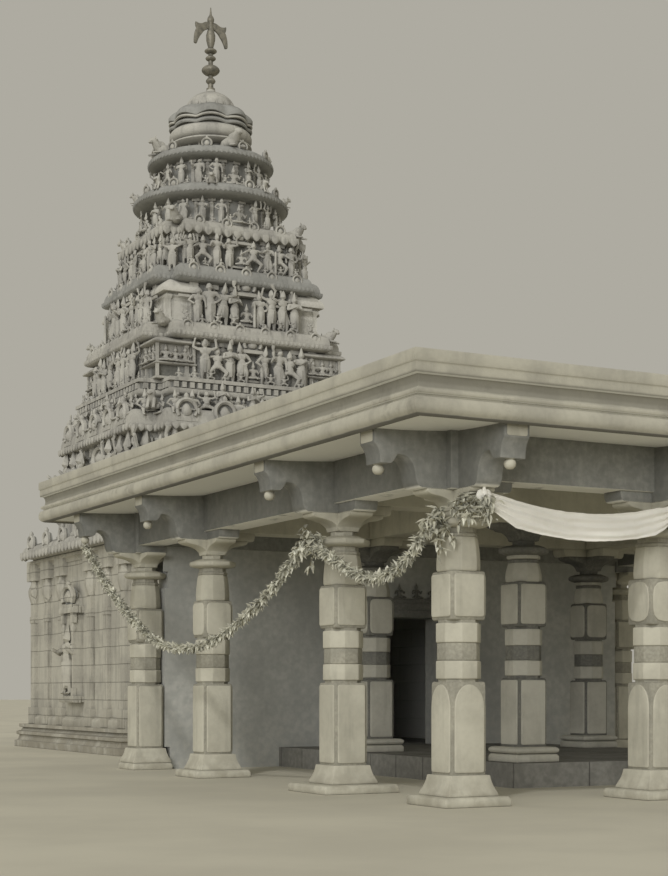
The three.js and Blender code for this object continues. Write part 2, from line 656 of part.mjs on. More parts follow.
function addFinial() {
  const stem = 65;
  // Height of a pot's middle, its radius and its half height.
  const pots = [[17245, 125, 70], [17520, 235, 135], [17830, 135, 60], [18020, 160, 65]];
  const outline = [[110, FINIAL_FOOT + SEAT_GAP], [110, 17060]];
  for (const [middle, radius, rise] of pots) {
    outline.push([stem, middle - rise], [radius * 0.8, middle - rise * 0.6], [radius, middle]);
    outline.push([radius * 0.8, middle + rise * 0.6], [stem, middle + rise]);
  }
  outline.push([stem, CREST_FOOT]);
  addPiece("finial_pots", course(outline, 12), BRASS, 0, TOWER_Y);

  // One drooping leaf of the crest, in side view, from the stem out to its hanging tip.
  const leaf = new THREE.Shape();
  leaf.moveTo(0, 18560);
  leaf.quadraticCurveTo(170, 18560, 260, 18420);
  leaf.quadraticCurveTo(340, 18330, 400, 18150);
  leaf.lineTo(470, 18170);
  leaf.quadraticCurveTo(480, 18420, 400, 18560);
  leaf.quadraticCurveTo(440, 18620, 430, 18720);
  leaf.quadraticCurveTo(300, 18650, 180, 18740);
  leaf.quadraticCurveTo(80, 18790, 0, 18740);
  const crest = join(
    course([[stem, CREST_FOOT + SEAT_GAP], [90, 18200], [120, 18420], [70, 18620], [60, 18760],
      [85, 18850], [30, 18960], [24, TOWER_TOP]], 8),
    plate(leaf, 70),
    turned(plate(leaf, 70), 180),
  );
  addPiece("finial_crest", crest, BRASS, 0, TOWER_Y);
}

// Cloth festoons between the front struts
const CLOTH_DROP = 300; // height of the strip
const CLOTH_END = 4060; // top edge at its ends
const CLOTH_OUT = 600; // out from the front pillar line
const CLOTH_TIE = 60; // width of the ties that hold its ends to the struts
const CLOTH_THICK = 30; // with its folds
const SIDE_SAG = 240;
const CENTRE_SAG = 330;

function festoon(span, sag) {
  const half = span / 2;
  const strip = new THREE.Shape();
  strip.moveTo(-half, CLOTH_END);
  strip.quadraticCurveTo(0, CLOTH_END - 2 * sag, half, CLOTH_END);
  strip.lineTo(half, CLOTH_END - CLOTH_DROP);
  strip.quadraticCurveTo(0, CLOTH_END - 2 * sag - CLOTH_DROP, -half, CLOTH_END - CLOTH_DROP);
  const extruded = new THREE.ExtrudeGeometry(strip, {
    depth: CLOTH_THICK,
    bevelEnabled: false,
    curveSegments: 14,
  });
  const tieFoot = CLOTH_END - CLOTH_DROP / 2;
  const tieTop = BRACKET_TOP - SEAT_GAP;
  return join(
    solid(extruded.rotateX(Math.PI / 2)),
    block([-half, -CLOTH_THICK, tieFoot], [-half + CLOTH_TIE, 0, tieTop]),
    block([half - CLOTH_TIE, -CLOTH_THICK, tieFoot], [half, 0, tieTop]),
  );
}

function addCloths() {
  const y = HALL_Y - OUTER_LINE - CLOTH_OUT;
  const sideSpan = OUTER_LINE - INNER_LINE - SEAT_GAP * 2;
  const middle = (OUTER_LINE + INNER_LINE) / 2;
  addPiece("cloth_left", festoon(sideSpan, SIDE_SAG), CLOTH, -middle, y);
  addPiece("cloth_right", festoon(sideSpan, SIDE_SAG), CLOTH, middle, y);
  addPiece("cloth_centre", festoon(2 * (INNER_LINE - SEAT_GAP), CENTRE_SAG), CLOTH, 0, y);
}

// Ropes of the leaf garlands on the left side: points in [out from the pillar line, along, height],
// with "along" counted back from the front pillar row
const ROPE_RADIUS = 16;
const ROPE_STEPS = 36;
const ROPE_END = 0.005; // how far the ropes stop short of the stone
const GARLANDS = {
  garland_rope_near: [
    [350, 0, 3675], [440, 10, 3664], [500, 120, 3480], [520, 400, 3250], [520, 800, 3080],
    [520, 1200, 3020], [520, 1600, 3060], [520, 2000, 3170], [520, 2400, 3320],
    [520, 2800, 3490], [505, 3070, 3600], [440, 3190, 3668], [350, 3200, 3675],
  ],
  garland_rope_far: [
    [350, 3290, 3675], [440, 3300, 3668], [505, 3420, 3600], [560, 3900, 3320],
    [620, 4600, 2920], [690, 5400, 2560], [760, 6200, 2310], [820, 7000, 2200],
    [880, 7800, 2240], [940, 8500, 2420], [1000, 9200, 2740], [1060, 9900, 3150],
    [1120, 10500, 3590], [1170, 10950, 3980], [1197, 11170, 4150], [STRUT_BUD_REACH, 11200, 4190],
    [STRUT_BUD_REACH, 11200, 4260],
  ],
};

function addGarlands() {
  const section = new THREE.Shape().absarc(0, 0, ROPE_RADIUS, 0, Math.PI * 2, false);
  // The ropes end face to face on the capitals and under the last strut's bud.
  const outerFace = -OUTER_LINE - ABACUS_HALF - ROPE_END;
  const insideLine = block([outerFace, HALL_Y - OUTER_LINE * 2, 0], [0, TOWER_Y, ROOF_TOP]);
  const overBud = block(
    [-OUTER_LINE * 2, HALL_Y - OUTER_LINE * 2, STRUT_BUD - ROPE_END],
    [0, TOWER_Y, ROOF_TOP],
  );
  for (const [name, points] of Object.entries(GARLANDS)) {
    const path = new THREE.CatmullRomCurve3(
      points.map(([out, along, z]) =>
        new THREE.Vector3(-OUTER_LINE - out, HALL_Y - OUTER_LINE + along, z)),
    );
    const rope = new THREE.ExtrudeGeometry(section, {
      steps: ROPE_STEPS,
      extrudePath: path,
      curveSegments: 3,
      bevelEnabled: false,
    });
    addPiece(name, solid(rope).subtract(insideLine).subtract(overBud), ROPE);
  }
}

addPillars();
addBeams();
addEaves();
addHall();
addVestibule();
addSanctum();
addTower();
addFinial();
addCloths();
addGarlands();

export default temple;
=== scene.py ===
import math
import random

import bmesh
import bpy
from mathutils import Matrix, Vector, noise


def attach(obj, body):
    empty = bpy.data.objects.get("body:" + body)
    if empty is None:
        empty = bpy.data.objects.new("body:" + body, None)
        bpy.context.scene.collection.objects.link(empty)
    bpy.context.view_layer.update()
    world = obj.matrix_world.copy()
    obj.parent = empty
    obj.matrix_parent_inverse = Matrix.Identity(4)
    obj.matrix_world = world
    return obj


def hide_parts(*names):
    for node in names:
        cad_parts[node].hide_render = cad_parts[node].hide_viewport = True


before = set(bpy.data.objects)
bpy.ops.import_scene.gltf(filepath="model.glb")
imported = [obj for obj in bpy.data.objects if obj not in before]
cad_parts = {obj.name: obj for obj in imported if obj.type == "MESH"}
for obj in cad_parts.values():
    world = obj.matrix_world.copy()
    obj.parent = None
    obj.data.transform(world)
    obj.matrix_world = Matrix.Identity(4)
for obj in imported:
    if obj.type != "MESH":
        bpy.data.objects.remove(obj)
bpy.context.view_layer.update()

HALL_Y = -6.14  # the hall's centre
TOWER_Y = 9.26  # the tower's axis
OUTER = 5.6  # outer pillar lines, from the hall's centre
INNER = 2.4  # inner pillar lines
GAP = 0.0003  # between stones that lie on each other
REAR_WALL = -0.79  # front face of the hall's rear wall
BEAM_LOW, BEAM_HIGH = 4.2203, 4.9197  # underside and top of the hall's beams
PICTURE_HEIGHT, FOCAL, HORIZON = 876, 1650, 690  # the view, in pixels, the horizon from the top
EYE_HEIGHT = 1.5

dice = random.Random(7)
noise.seed_set(7)  # for the hand-laid unevenness


def add_object(name, data):
    """A new object in the scene."""
    made = bpy.data.objects.new(name, data)
    bpy.context.scene.collection.objects.link(made)
    return made


def add_camera():
    """At eye height, turned right of the building's length, with the horizon low in the frame."""
    lens = bpy.data.cameras.new("camera")
    lens.sensor_fit = "VERTICAL"
    lens.sensor_height = 36
    lens.lens = lens.sensor_height * FOCAL / PICTURE_HEIGHT
    lens.shift_y = (HORIZON - PICTURE_HEIGHT / 2) / PICTURE_HEIGHT
    lens.clip_end = 500
    camera = add_object("camera", lens)
    camera.location = (-17.03, HALL_Y - OUTER - 18.27, EYE_HEIGHT)
    camera.rotation_euler = (math.pi / 2, 0, -math.atan2(0.465, 0.885))
    bpy.context.scene.camera = camera


# Materials


class Socket:
    """A socket of a material's node. Arithmetic on it adds Math nodes."""

    def __init__(self, tree, socket=None):
        self.tree = tree
        self.socket = socket

    def node(self, kind, settings=None, inputs=None, output=0):
        """Adds a shader node, and gives the socket of one of its outputs."""
        made = self.tree.nodes.new("ShaderNode" + kind)
        for name, value in (settings or {}).items():
            setattr(made, name, value)
        for name, value in (inputs or {}).items():
            if isinstance(value, Socket):
                self.tree.links.new(value.socket, made.inputs[name])
            else:
                made.inputs[name].default_value = value
        return Socket(self.tree, made.outputs[output])

    def maths(self, operation, *values):
        """Adds a Math node."""
        return self.node("Math", {"operation": operation}, dict(enumerate(values)))

    def __add__(self, other):
        return self.maths("ADD", self, other)

    __radd__ = __add__

    def __sub__(self, other):
        return self.maths("SUBTRACT", self, other)

    def __rsub__(self, other):
        return self.maths("SUBTRACT", other, self)

    def __mul__(self, other):
        return self.maths("MULTIPLY", self, other)

    __rmul__ = __mul__

    def limit(self, other):
        """The smaller of the two."""
        return self.maths("MINIMUM", self, other)

    def between(self, low, high, start=0.0, end=1.0):
        """A soft step: start below low, end above high."""
        settings = {"interpolation_type": "SMOOTHSTEP"}
        inputs = {"Value": self, "From Min": low, "From Max": high, "To Min": start, "To Max": end}
        return self.node("MapRange", settings, inputs)

    def tint(self, under, over):
        """A colour mixed by this mask, from under to over."""
        return self.node("Mix", {"data_type": "RGBA"}, {0: self, 6: under, 7: over}, 2)

    def speckle(self, scale, detail, rough=0.55, stretch=(1, 1, 1)):
        """Cloudy noise over the piece, in clouds per metre, stretched along an axis."""
        place = self.node("Mapping", None, {"Vector": self, "Scale": stretch})
        inputs = {"Vector": place, "Scale": scale, "Detail": detail, "Roughness": rough}
        return place.node("TexNoise", None, inputs)


def shade(red, green, blue):
    """A colour given as it looks, 0 to 255."""
    return tuple(((c / 255 + 0.055) / 1.055) ** 2.4 for c in (red, green, blue)) + (1.0,)


class Finish:
    """A material under way: its surface, and the place on the piece that its patterns follow."""

    def __init__(self, name):
        self.material = bpy.data.materials.new(name)
        self.material.use_nodes = True
        self.tree = self.material.node_tree
        self.shader = self.tree.nodes["Principled BSDF"]
        self.place = Socket(self.tree).node("TexCoord", output="Object")
        split = self.place.node("SeparateXYZ", None, {0: self.place}).socket.node.outputs
        self.x, self.y, self.z = (Socket(self.tree, side) for side in split)

    def hollows(self, reach):
        """1 in a hollow or under a ledge, 0 in the open."""
        return 1 - self.place.node("AmbientOcclusion", {"samples": 6}, {"Distance": reach}, "AO")

    def facing(self, axis):
        """How far the surface faces along an axis, -1 to 1."""
        normal = self.place.node("NewGeometry", output="Normal")
        return normal.node("SeparateXYZ", None, {0: normal}, axis)

    def below(self):
        """1 on undersides, 0 elsewhere."""
        return self.facing(2).between(-0.95, -0.75, 1, 0)

    def mottled(self, fine, dark, light, patches, amount, patch_colour):
        """Two close tones in small clouds, with patches of a third laid over them."""
        colour = fine.between(0.3, 0.75).tint(dark, light)
        return (patches * amount).tint(colour, patch_colour)

    def joints(self, where, gap, smooth, width, height):
        """1 in the joints between blocks of that width and height, laid in half bond."""
        inputs = {"Vector": where, "Scale": 1.0, "Mortar Size": gap, "Mortar Smooth": smooth}
        inputs.update({"Brick Width": width, "Row Height": height})
        return where.node("TexBrick", {"offset": 0.5}, inputs, "Fac")

    def finish(self, colour, rough, height=None, depth=0.01, metallic=0.0):
        """Sets the shader: colour and roughness, and a relief of the given depth in metres."""
        links = self.tree.links
        links.new(colour.socket, self.shader.inputs["Base Color"])
        if isinstance(rough, Socket):
            links.new(rough.socket, self.shader.inputs["Roughness"])
        else:
            self.shader.inputs["Roughness"].default_value = rough
        self.shader.inputs["Metallic"].default_value = metallic
        self.shader.inputs["Specular IOR Level"].default_value = 0.25
        if height is not None:
            bump = height.node("Bump", None, {"Strength": 1.0, "Distance": depth, "Height": height})
            links.new(bump.socket, self.shader.inputs["Normal"])
        return self.material


def weathered(name, clean, worn, grime_and_shade, streaks, hollow_reach, hollow_depth):
    """Starts limewash or stucco: a clean colour, worn patches, rain streaks, and soiling with painted shade
    in the hollows.
    """
    finish = Finish(name)
    patches = finish.place.speckle(1.3, 6).between(0.42, 0.62)
    fine = finish.place.speckle(14, 5)
    grain = finish.place.speckle(90, 3)
    runs = finish.place.speckle(5, 5, 0.6, (1, 1, 0.14)).between(0.5, 0.72)
    colour = (patches * 0.75 + fine.between(0.35, 0.7) * 0.25).tint(clean, worn)
    upright = 1 - finish.facing(2).maths("ABSOLUTE", finish.facing(2)).between(0.5, 0.9)
    colour = (runs * streaks * upright).tint(colour, grime_and_shade)
    # The hollows are darkened: some of it soiling, the rest painted shade where less light reaches.
    hollow = finish.hollows(hollow_reach).between(0.25, 0.95) * hollow_depth
    hollow_grime_and_shade = (hollow + fine.between(0.45, 0.8) * 0.25 * hollow).limit(1.0)
    colour = hollow_grime_and_shade.tint(colour, grime_and_shade)
    height = fine * 0.8 + grain * 0.3 + patches * 0.4
    return finish, colour, height


def make_whitewash(name, clean, worn):
    """Lime on the pillars and the inner beams, with splashed earth near the ground."""
    finish, colour, height = weathered(
        name, clean, worn, shade(126, 124, 114), streaks=0.25, hollow_reach=0.12, hollow_depth=0.6
    )
    splash = finish.z.between(0.05, 0.75, 1, 0) * finish.place.speckle(4, 5).between(0.35, 0.65)
    colour = (splash * 0.55).tint(colour, shade(150, 145, 130))
    return finish.finish(colour, 0.92, height, depth=0.006)


def make_stone(name, light, dark, damp):
    """Unpainted granite, as between the whitewashed panels."""
    finish = Finish(name)
    fine = finish.place.speckle(22, 5)
    grain = finish.place.speckle(160, 2)
    patches = finish.place.speckle(2.2, 5).between(0.4, 0.65)
    colour = finish.mottled(fine, dark, light, patches, 0.5, damp)
    return finish.finish(colour, 0.85, fine + grain * 0.5, depth=0.006)


def make_shaded_stone():
    """The outer beams and struts: dark sides, partly smoke and partly painted shade from the eave, and
    undersides that keep their limewash, painted near white as light bounced up from the ground.
    """
    finish = Finish("shaded_stone")
    fine = finish.place.speckle(10, 5)
    runs = finish.place.speckle(4, 5, 0.6, (1, 1, 0.2)).between(0.4, 0.7)
    dark, light, run_colour = shade(136, 137, 133), shade(156, 156, 151), shade(120, 121, 118)
    colour = finish.mottled(fine, dark, light, runs, 0.5, run_colour)
    # The sides that face left are painted darker still, as painted shade.
    left_side_shade = finish.facing(0).between(-0.9, -0.5, 1, 0)
    colour = (left_side_shade * 0.45).tint(colour, shade(100, 101, 98))
    # On the undersides, patches painted near white: partly limewash, partly painted light bounced up from the
    # ground.
    below = finish.facing(2).between(-0.92, -0.6, 1, 0) * finish.z.between(4.28, 4.32, 1, 0)
    limewash_and_bounce = below * finish.place.speckle(3, 5).between(0.25, 0.45)
    colour = limewash_and_bounce.tint(colour, shade(240, 239, 232))
    return finish.finish(colour, 0.88, fine, depth=0.006)


def make_soot_and_shade_wall():
    """Walls deep in the hall, dark with lamp smoke above and with painted shade of the deep hall, and worn
    pale near the floor.
    """
    finish = Finish("soot_and_shade_wall")
    fine = finish.place.speckle(8, 5)
    patches = finish.place.speckle(0.9, 5).between(0.35, 0.7)
    dark, light, sooty = shade(172, 173, 168), shade(192, 192, 186), shade(154, 155, 151)
    colour = finish.mottled(fine, dark, light, patches, 0.6, sooty)
    rubbed = finish.z.between(0.3, 1.6, 1, 0) * fine.between(0.4, 0.7)
    colour = (rubbed * 0.4).tint(colour, shade(180, 179, 170))
    # Behind the hall the wall is pale.
    outside = finish.y.between(-0.34, -0.3)
    colour = (outside * 0.85).tint(colour, shade(178, 175, 164))
    return finish.finish(colour, 0.9, fine, depth=0.008)


def make_masonry():
    """Coursed and limewashed blocks of the closed walls behind the hall."""
    finish, colour, height = weathered(
        "masonry", shade(184, 181, 169), shade(164, 161, 151), shade(112, 110, 104),
        streaks=0.45, hollow_reach=0.3, hollow_depth=0.6,
    )
    along = finish.x + finish.y
    flat = along.node("CombineXYZ", None, {0: along, 1: finish.z})
    joints = finish.joints(flat, gap=0.012, smooth=0.6, width=1.1, height=0.42)
    colour = (joints * 0.55).tint(colour, shade(112, 109, 100))
    damp = finish.z.between(0.2, 1.4, 1, 0) * finish.place.speckle(2, 5).between(0.3, 0.6)
    colour = (damp * 0.6).tint(colour, shade(128, 122, 107))
    # The room behind the doorway is limewashed, painted paler than the walls outside: partly its limewash,
    # partly painted light to lift the dark behind the doorway.
    aside = finish.x.maths("ABSOLUTE", finish.x)
    inside = aside.between(2.9, 3.0, 1, 0) * finish.y.between(5.9, 6.0, 1, 0)
    colour = (inside * 0.95).tint(colour, shade(244, 244, 238))
    return finish.finish(colour, 0.92, height - joints * 1.5, depth=0.006)


def make_paving():
    """Stone slabs of the floors."""
    finish = Finish("paving")
    fine = finish.place.speckle(9, 5)
    patches = finish.place.speckle(0.8, 6).between(0.4, 0.65)
    dark, light, worn = shade(126, 125, 120), shade(148, 147, 141), shade(106, 105, 101)
    colour = finish.mottled(fine, dark, light, patches, 0.6, worn)
    joints = finish.joints(finish.place, gap=0.014, smooth=0.5, width=1.5, height=0.9)
    colour = (joints * 0.7).tint(colour, shade(82, 81, 77))
    return finish.finish(colour, 0.85, fine - joints * 2, depth=0.006)


def make_roof():
    """Slabs of the flat roofs under a worn coat of lime."""
    finish, colour, height = weathered(
        "roof", shade(168, 165, 154), shade(146, 143, 133), shade(112, 110, 103),
        streaks=0.0, hollow_reach=0.5, hollow_depth=0.6,
    )
    joints = finish.joints(finish.place, gap=0.016, smooth=0.5, width=1.6, height=0.8)
    colour = (joints * 0.5).tint(colour, shade(100, 98, 91))
    # Undersides are painted near white: partly their lime, partly painted light bounced up from below.
    colour = (finish.below() * 0.9).tint(colour, shade(236, 236, 230))
    return finish.finish(colour, 0.92, height - joints * 1.5, depth=0.006)


def make_eave_wash():
    """The eave: whitewashed rolls, a grey hollow band deepened with painted shade, undersides painted pale as
    light bounced up, and a dark line of painted shade under the lip.
    """
    finish, colour, height = weathered(
        "eave_wash", shade(187, 184, 170), shade(169, 166, 154), shade(114, 113, 106),
        streaks=0.14, hollow_reach=0.1, hollow_depth=0.5,
    )
    wobble = finish.place.speckle(3, 4) * 0.03 - 0.015
    level = finish.z + wobble
    # The hollow band: partly grey paint, partly painted shade of the recess.
    hollow = level.between(5.07, 5.10) * level.between(5.25, 5.28, 1, 0)
    colour = (hollow * 0.68).tint(colour, shade(122, 120, 111))
    stain = finish.place.speckle(1.6, 6, 0.65).between(0.55, 0.66) * level.between(5.24, 5.3, 1, 0)
    colour = (stain * 0.35).tint(colour, shade(118, 115, 106))
    top = finish.facing(2).between(0.8, 0.97) * finish.z.between(5.45, 5.5)
    colour = (top * finish.place.speckle(1.1, 6).between(0.2, 0.5)).tint(colour, shade(160, 157, 147))
    # Undersides are painted near white: partly their limewash, partly painted light bounced up from the
    # ground.
    colour = (finish.below() * 0.9).tint(colour, shade(238, 238, 233))
    # A dark line along the lip's underside, painted shade under the lip.
    lip_underside_shade = (finish.z + wobble * 0.4).between(4.762, 4.778, 1, 0)
    colour = (lip_underside_shade * 0.85).tint(colour, shade(84, 82, 76))
    return finish.finish(colour, 0.92, height, depth=0.006)


def make_stucco(name, clean, worn, grime_and_shade, hollow_depth=0.5):
    """Weathered stucco of the tower, greyer on top."""
    finish, colour, height = weathered(
        name, clean, worn, grime_and_shade, streaks=0.55, hollow_reach=0.22, hollow_depth=hollow_depth
    )
    moss = finish.facing(2).between(0.55, 0.95) * finish.place.speckle(2.5, 5).between(0.4, 0.6)
    colour = (moss * 0.5).tint(colour, grime_and_shade)
    return finish.finish(colour, 0.95, height, depth=0.012)


def make_brass():
    """Weather-dulled brass, greener in the hollows."""
    finish = Finish("brass")
    patches = finish.place.speckle(9, 5).between(0.4, 0.65)
    fine = finish.place.speckle(60, 3)
    colour = patches.tint(shade(138, 134, 122), shade(112, 110, 102))
    colour = (finish.hollows(0.12) * 0.7).tint(colour, shade(84, 83, 77))
    rough = patches * 0.2 + 0.5
    return finish.finish(colour, rough, fine, depth=0.002, metallic=0.35)


def make_cotton():
    """Plain white cotton: fine weave and soft soiling, following the strip's own UV map."""
    finish = Finish("cotton")
    uv = Socket(finish.tree).node("TexCoord", output="UV")
    soil = finish.place.speckle(2.4, 4).between(0.45, 0.7)
    colour = (soil * 0.5).tint(shade(249, 247, 240), shade(236, 233, 223))
    warp = uv.node("TexWave", {"bands_direction": "X"}, {"Vector": uv, "Scale": 90.0})
    weft = uv.node("TexWave", {"bands_direction": "Y"}, {"Vector": uv, "Scale": 90.0})
    colour = (warp * weft * 0.12).tint(colour, shade(186, 180, 162))
    return finish.finish(colour, 0.95, warp + weft, depth=0.0006)


def make_leaf(name, light, dark):
    """Leaves in two mixed tones."""
    finish = Finish(name)
    tone = finish.place.speckle(7, 3).between(0.35, 0.65)
    vein = finish.place.speckle(55, 2).between(0.4, 0.7)
    colour = (tone * 0.8 + vein * 0.2).tint(light, dark)
    return finish.finish(colour, 0.55, vein, depth=0.001)


def make_rope():
    """Twisted fibre."""
    finish = Finish("rope")
    twist = finish.place.speckle(120, 2, 0.5, (1, 0.4, 1))
    colour = twist.between(0.35, 0.65).tint(shade(96, 92, 72), shade(134, 128, 104))
    return finish.finish(colour, 0.95, twist, depth=0.002)


def make_ground():
    """The plain pale floor under the building."""
    finish = Finish("ground")
    clouds = finish.place.speckle(0.35, 6).between(0.3, 0.7)
    colour = clouds.tint(shade(208, 204, 188), shade(196, 192, 177))
    return finish.finish(colour, 0.95)


WHITEWASH = make_whitewash("whitewash", shade(197, 194, 179), shade(180, 177, 163))
# The inner pillars' limewash is a darker copy of the outer one, as painted shade of the hall.
INNER_SHADED_WASH = make_whitewash("inner_shaded_whitewash", shade(192, 190, 179), shade(174, 172, 162))
BARE_STONE = make_stone("bare_stone", shade(174, 171, 157), shade(152, 149, 137), shade(138, 136, 126))
DARK_STONE = make_stone("dark_stone", shade(134, 133, 126), shade(112, 112, 107), shade(102, 102, 98))
SHADED_STONE = make_shaded_stone()
SOOT_AND_SHADE_WALL = make_soot_and_shade_wall()
MASONRY = make_masonry()
PAVING = make_paving()
ROOF = make_roof()
EAVE_WASH = make_eave_wash()
STUCCO = make_stucco("stucco", shade(184, 182, 174), shade(160, 158, 152), shade(108, 107, 104))
PALE_STUCCO = make_stucco("pale_stucco", shade(208, 206, 198), shade(188, 186, 178), shade(130, 129, 124))
# Darker stucco: on the tower's recessed walls and bands, the arches' backs and the shrines' insides it is
# painted shade of the recesses; it also colours the darker cornices and petal hems.
DARK_STUCCO = make_stucco(
    "dark_stucco", shade(157, 157, 153), shade(140, 140, 136), shade(106, 106, 104), hollow_depth=0.55
)
BRASS = make_brass()
COTTON = make_cotton()
LEAVES = make_leaf("leaves", shade(232, 231, 217), shade(196, 195, 181))
DRY_LEAVES = make_leaf("dry_leaves", shade(182, 181, 167), shade(134, 133, 122))
ROPE = make_rope()


# Mesh tools


def draw_out(bm, face):
    """Extrudes a flat face, and gives the points of its far end."""
    made = bmesh.ops.extrude_face_region(bm, geom=[face])
    return [part for part in made["geom"] if isinstance(part, bmesh.types.BMVert)]


def moulded(bm, plan, profile):
    """A closed moulding: the plan, one unit in half width, raised through [half width, height]."""
    half, level = profile[0]
    face = bm.faces.new([bm.verts.new((x * half, y * half, level)) for x, y in plan])
    for step, (next_half, next_level) in enumerate(profile[1:]):
        made = bmesh.ops.extrude_face_region(bm, geom=[face])
        if step:
            bmesh.ops.delete(bm, geom=[face], context="FACES_ONLY")
        face = next(part for part in made["geom"] if isinstance(part, bmesh.types.BMFace))
        ratio = next_half / half
        bmesh.ops.scale(bm, vec=(ratio, ratio, 1), verts=face.verts)
        bmesh.ops.translate(bm, vec=(0, 0, next_level - level), verts=face.verts)
        half, level = next_half, next_level


SQUARE = [(-1, -1), (1, -1), (1, 1), (-1, 1)]
# A square with a notch of a fifth cut from each corner
NOTCHED = [
    (-0.8, -1), (0.8, -1), (0.8, -0.8), (1, -0.8), (1, 0.8), (0.8, 0.8),
    (0.8, 1), (-0.8, 1), (-0.8, 0.8), (-1, 0.8), (-1, -0.8), (-0.8, -0.8),
]


def polygon(sides):
    """A regular plan, one across its flats, with a flat to the front."""
    reach = 1 / math.cos(math.pi / sides)
    turns = [(step + 0.5) * 2 * math.pi / sides - math.pi / 2 for step in range(sides)]
    return [(reach * math.cos(turn), reach * math.sin(turn)) for turn in turns]


OCTAGON = polygon(8)


def bend(start, pull, end, steps=5):
    """Points of a curve from start to end that is drawn towards pull. Start itself is left out."""
    points = []
    for step in range(1, steps + 1):
        t = step / steps
        weights = ((1 - t) ** 2, 2 * t * (1 - t), t * t)
        named = list(zip(weights, (start, pull, end)))
        points.append(tuple(sum(weight * point[axis] for weight, point in named) for axis in (0, 1)))
    return points


def plate(bm, outline, thickness, middle=0.0):
    """A flat plate: its outline in (x, z), its thickness along Y."""
    front = middle - thickness / 2
    face = bm.faces.new([bm.verts.new((x, front, z)) for x, z in outline])
    bmesh.ops.translate(bm, vec=(0, thickness, 0), verts=draw_out(bm, face))


def box(bm, low, high):
    """A box between two corners."""
    size = Vector(high) - Vector(low)
    middle = (Vector(high) + Vector(low)) / 2
    place = Matrix.Translation(middle) @ grown(*size)
    bmesh.ops.create_cube(bm, size=1, matrix=place)


def rounded(width, height, corner, steps, arch=None):
    """Outline of a panel standing on height 0, with rounded corners, or with an arched top."""
    half = width / 2
    right = [(half - corner, 0), *bend((half - corner, 0), (half, 0), (half, corner), steps)]
    top = []
    if arch:
        for step in range(steps * 2):
            turn = step / (steps * 2) * math.pi / 2
            right.append((half * math.cos(turn), height - arch + arch * math.sin(turn)))
        top = [(0, height)]
    else:
        right.append((half, height - corner))
        right += bend((half, height - corner), (half, height), (half - corner, height), steps)
    return right + top + [(-x, z) for x, z in reversed(right)]


def soften(bm, width, segments, degrees=35, spared=()):
    """Rounds every edge sharper than the angle, apart from the spared ones."""
    bmesh.ops.recalc_face_normals(bm, faces=bm.faces)
    limit = math.radians(degrees)
    sharp = [edge for edge in bm.edges if edge.is_manifold and edge.calc_face_angle(0) > limit]
    bmesh.ops.bevel(
        bm, geom=[edge for edge in sharp if edge not in spared], offset=width, segments=segments,
        profile=0.5, affect="EDGES", clamp_overlap=True, material=-1,
    )


def shape(bm, name="shape"):
    """A finished form as mesh data, to be set down in many places."""
    bmesh.ops.recalc_face_normals(bm, faces=bm.faces)
    mesh = bpy.data.meshes.new(name)
    bm.to_mesh(mesh)
    bm.free()
    return mesh


def put(bm, form, place=None, material=None):
    """Sets a form down in a piece."""
    copy = form.copy()
    if place is not None:
        copy.transform(place)
    if material is not None:
        copy.polygons.foreach_set("material_index", [material] * len(copy.polygons))
    bm.from_mesh(copy)
    bpy.data.meshes.remove(copy)


def course(bm, plan, profile, material=0, place=None, round_by=0):
    """A moulding in one of the piece's materials, its edges rounded by that much."""
    part = bmesh.new()
    moulded(part, plan, profile)
    if round_by:
        soften(part, round_by, 2)
    put(bm, shape(part), place, material)


def block(bm, low, high, round_by=0, place=None):
    """The same with a box between two corners."""
    part = bmesh.new()
    box(part, low, high)
    if round_by:
        soften(part, round_by, 2)
    put(bm, shape(part), place)


def roughen(bm, amount, scale):
    """Moves each point a little, the same everywhere that points meet, for hand-laid work."""
    for vert in bm.verts:
        vert.co += noise.noise_vector(vert.co * scale) * amount
        vert.co.z = max(vert.co.z, 0)


def piece(name, bm, materials, replaces=(), smooth=40):
    """A finished piece of the temple."""
    for face in bm.faces:
        face.smooth = True
    for edge in bm.edges:
        edge.smooth = not edge.is_manifold or edge.calc_face_angle(0) < math.radians(smooth)
    mesh = bpy.data.meshes.new(name)
    bm.to_mesh(mesh)
    bm.free()
    for material in materials:
        mesh.materials.append(material)
    made = add_object(name, mesh)
    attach(made, "root")
    if replaces:
        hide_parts(*replaces)
    return made


def moved(x, y, z):
    """A shift."""
    return Matrix.Translation((x, y, z))


def grown(x, y, z):
    """A scaling along each axis."""
    return Matrix.Diagonal((x, y, z, 1))


def turn_x(degrees):
    """A tilt about the X axis."""
    return Matrix.Rotation(math.radians(degrees), 4, "X")


def turn_z(degrees):
    """A turn about the upright axis."""
    return Matrix.Rotation(math.radians(degrees), 4, "Z")


def corners(spread):
    """The four corners of a square around the middle."""
    return [(x, y) for x in (-spread, spread) for y in (-spread, spread)]


FRONT, RIGHT, BACK, LEFT = 0, 90, 180, 270  # turns of a form made to face -Y
SIDES = (FRONT, RIGHT, BACK, LEFT)


# Pillars

BLOCK = 0.262  # half width of the stone blocks behind the panels
PANEL_FACE = 0.28  # from the pillar's axis
LIME, STONE = 0, 1  # places of a pillar's materials


def panel_form(width, foot, top, corner, arch=None):
    """A raised whitewashed panel on the front face of a block."""
    bm = bmesh.new()
    outline = [(x, foot + z) for x, z in rounded(width, top - foot, corner, 3, arch)]
    plate(bm, outline, 0.034, -PANEL_FACE + 0.017)
    soften(bm, 0.012, 3, degrees=60)
    return shape(bm)


def add_capital(bm, material):
    """Four curved arms under the beams."""
    arm = bmesh.new()
    outline = [(-0.1, 3.82), (0.15, 3.82)]
    outline += bend((0.15, 3.82), (0.21, 3.96), (0.43, 3.99), 8)
    outline += bend((0.43, 3.99), (0.58, 4.01), (0.58, 4.05), 4)
    outline += [(0.58, 4.0797), (-0.1, 4.0797)]
    plate(arm, outline, 0.38)
    soften(arm, 0.012, 2)
    form = shape(arm)
    for degrees in SIDES:
        put(bm, form, turn_z(degrees), material)


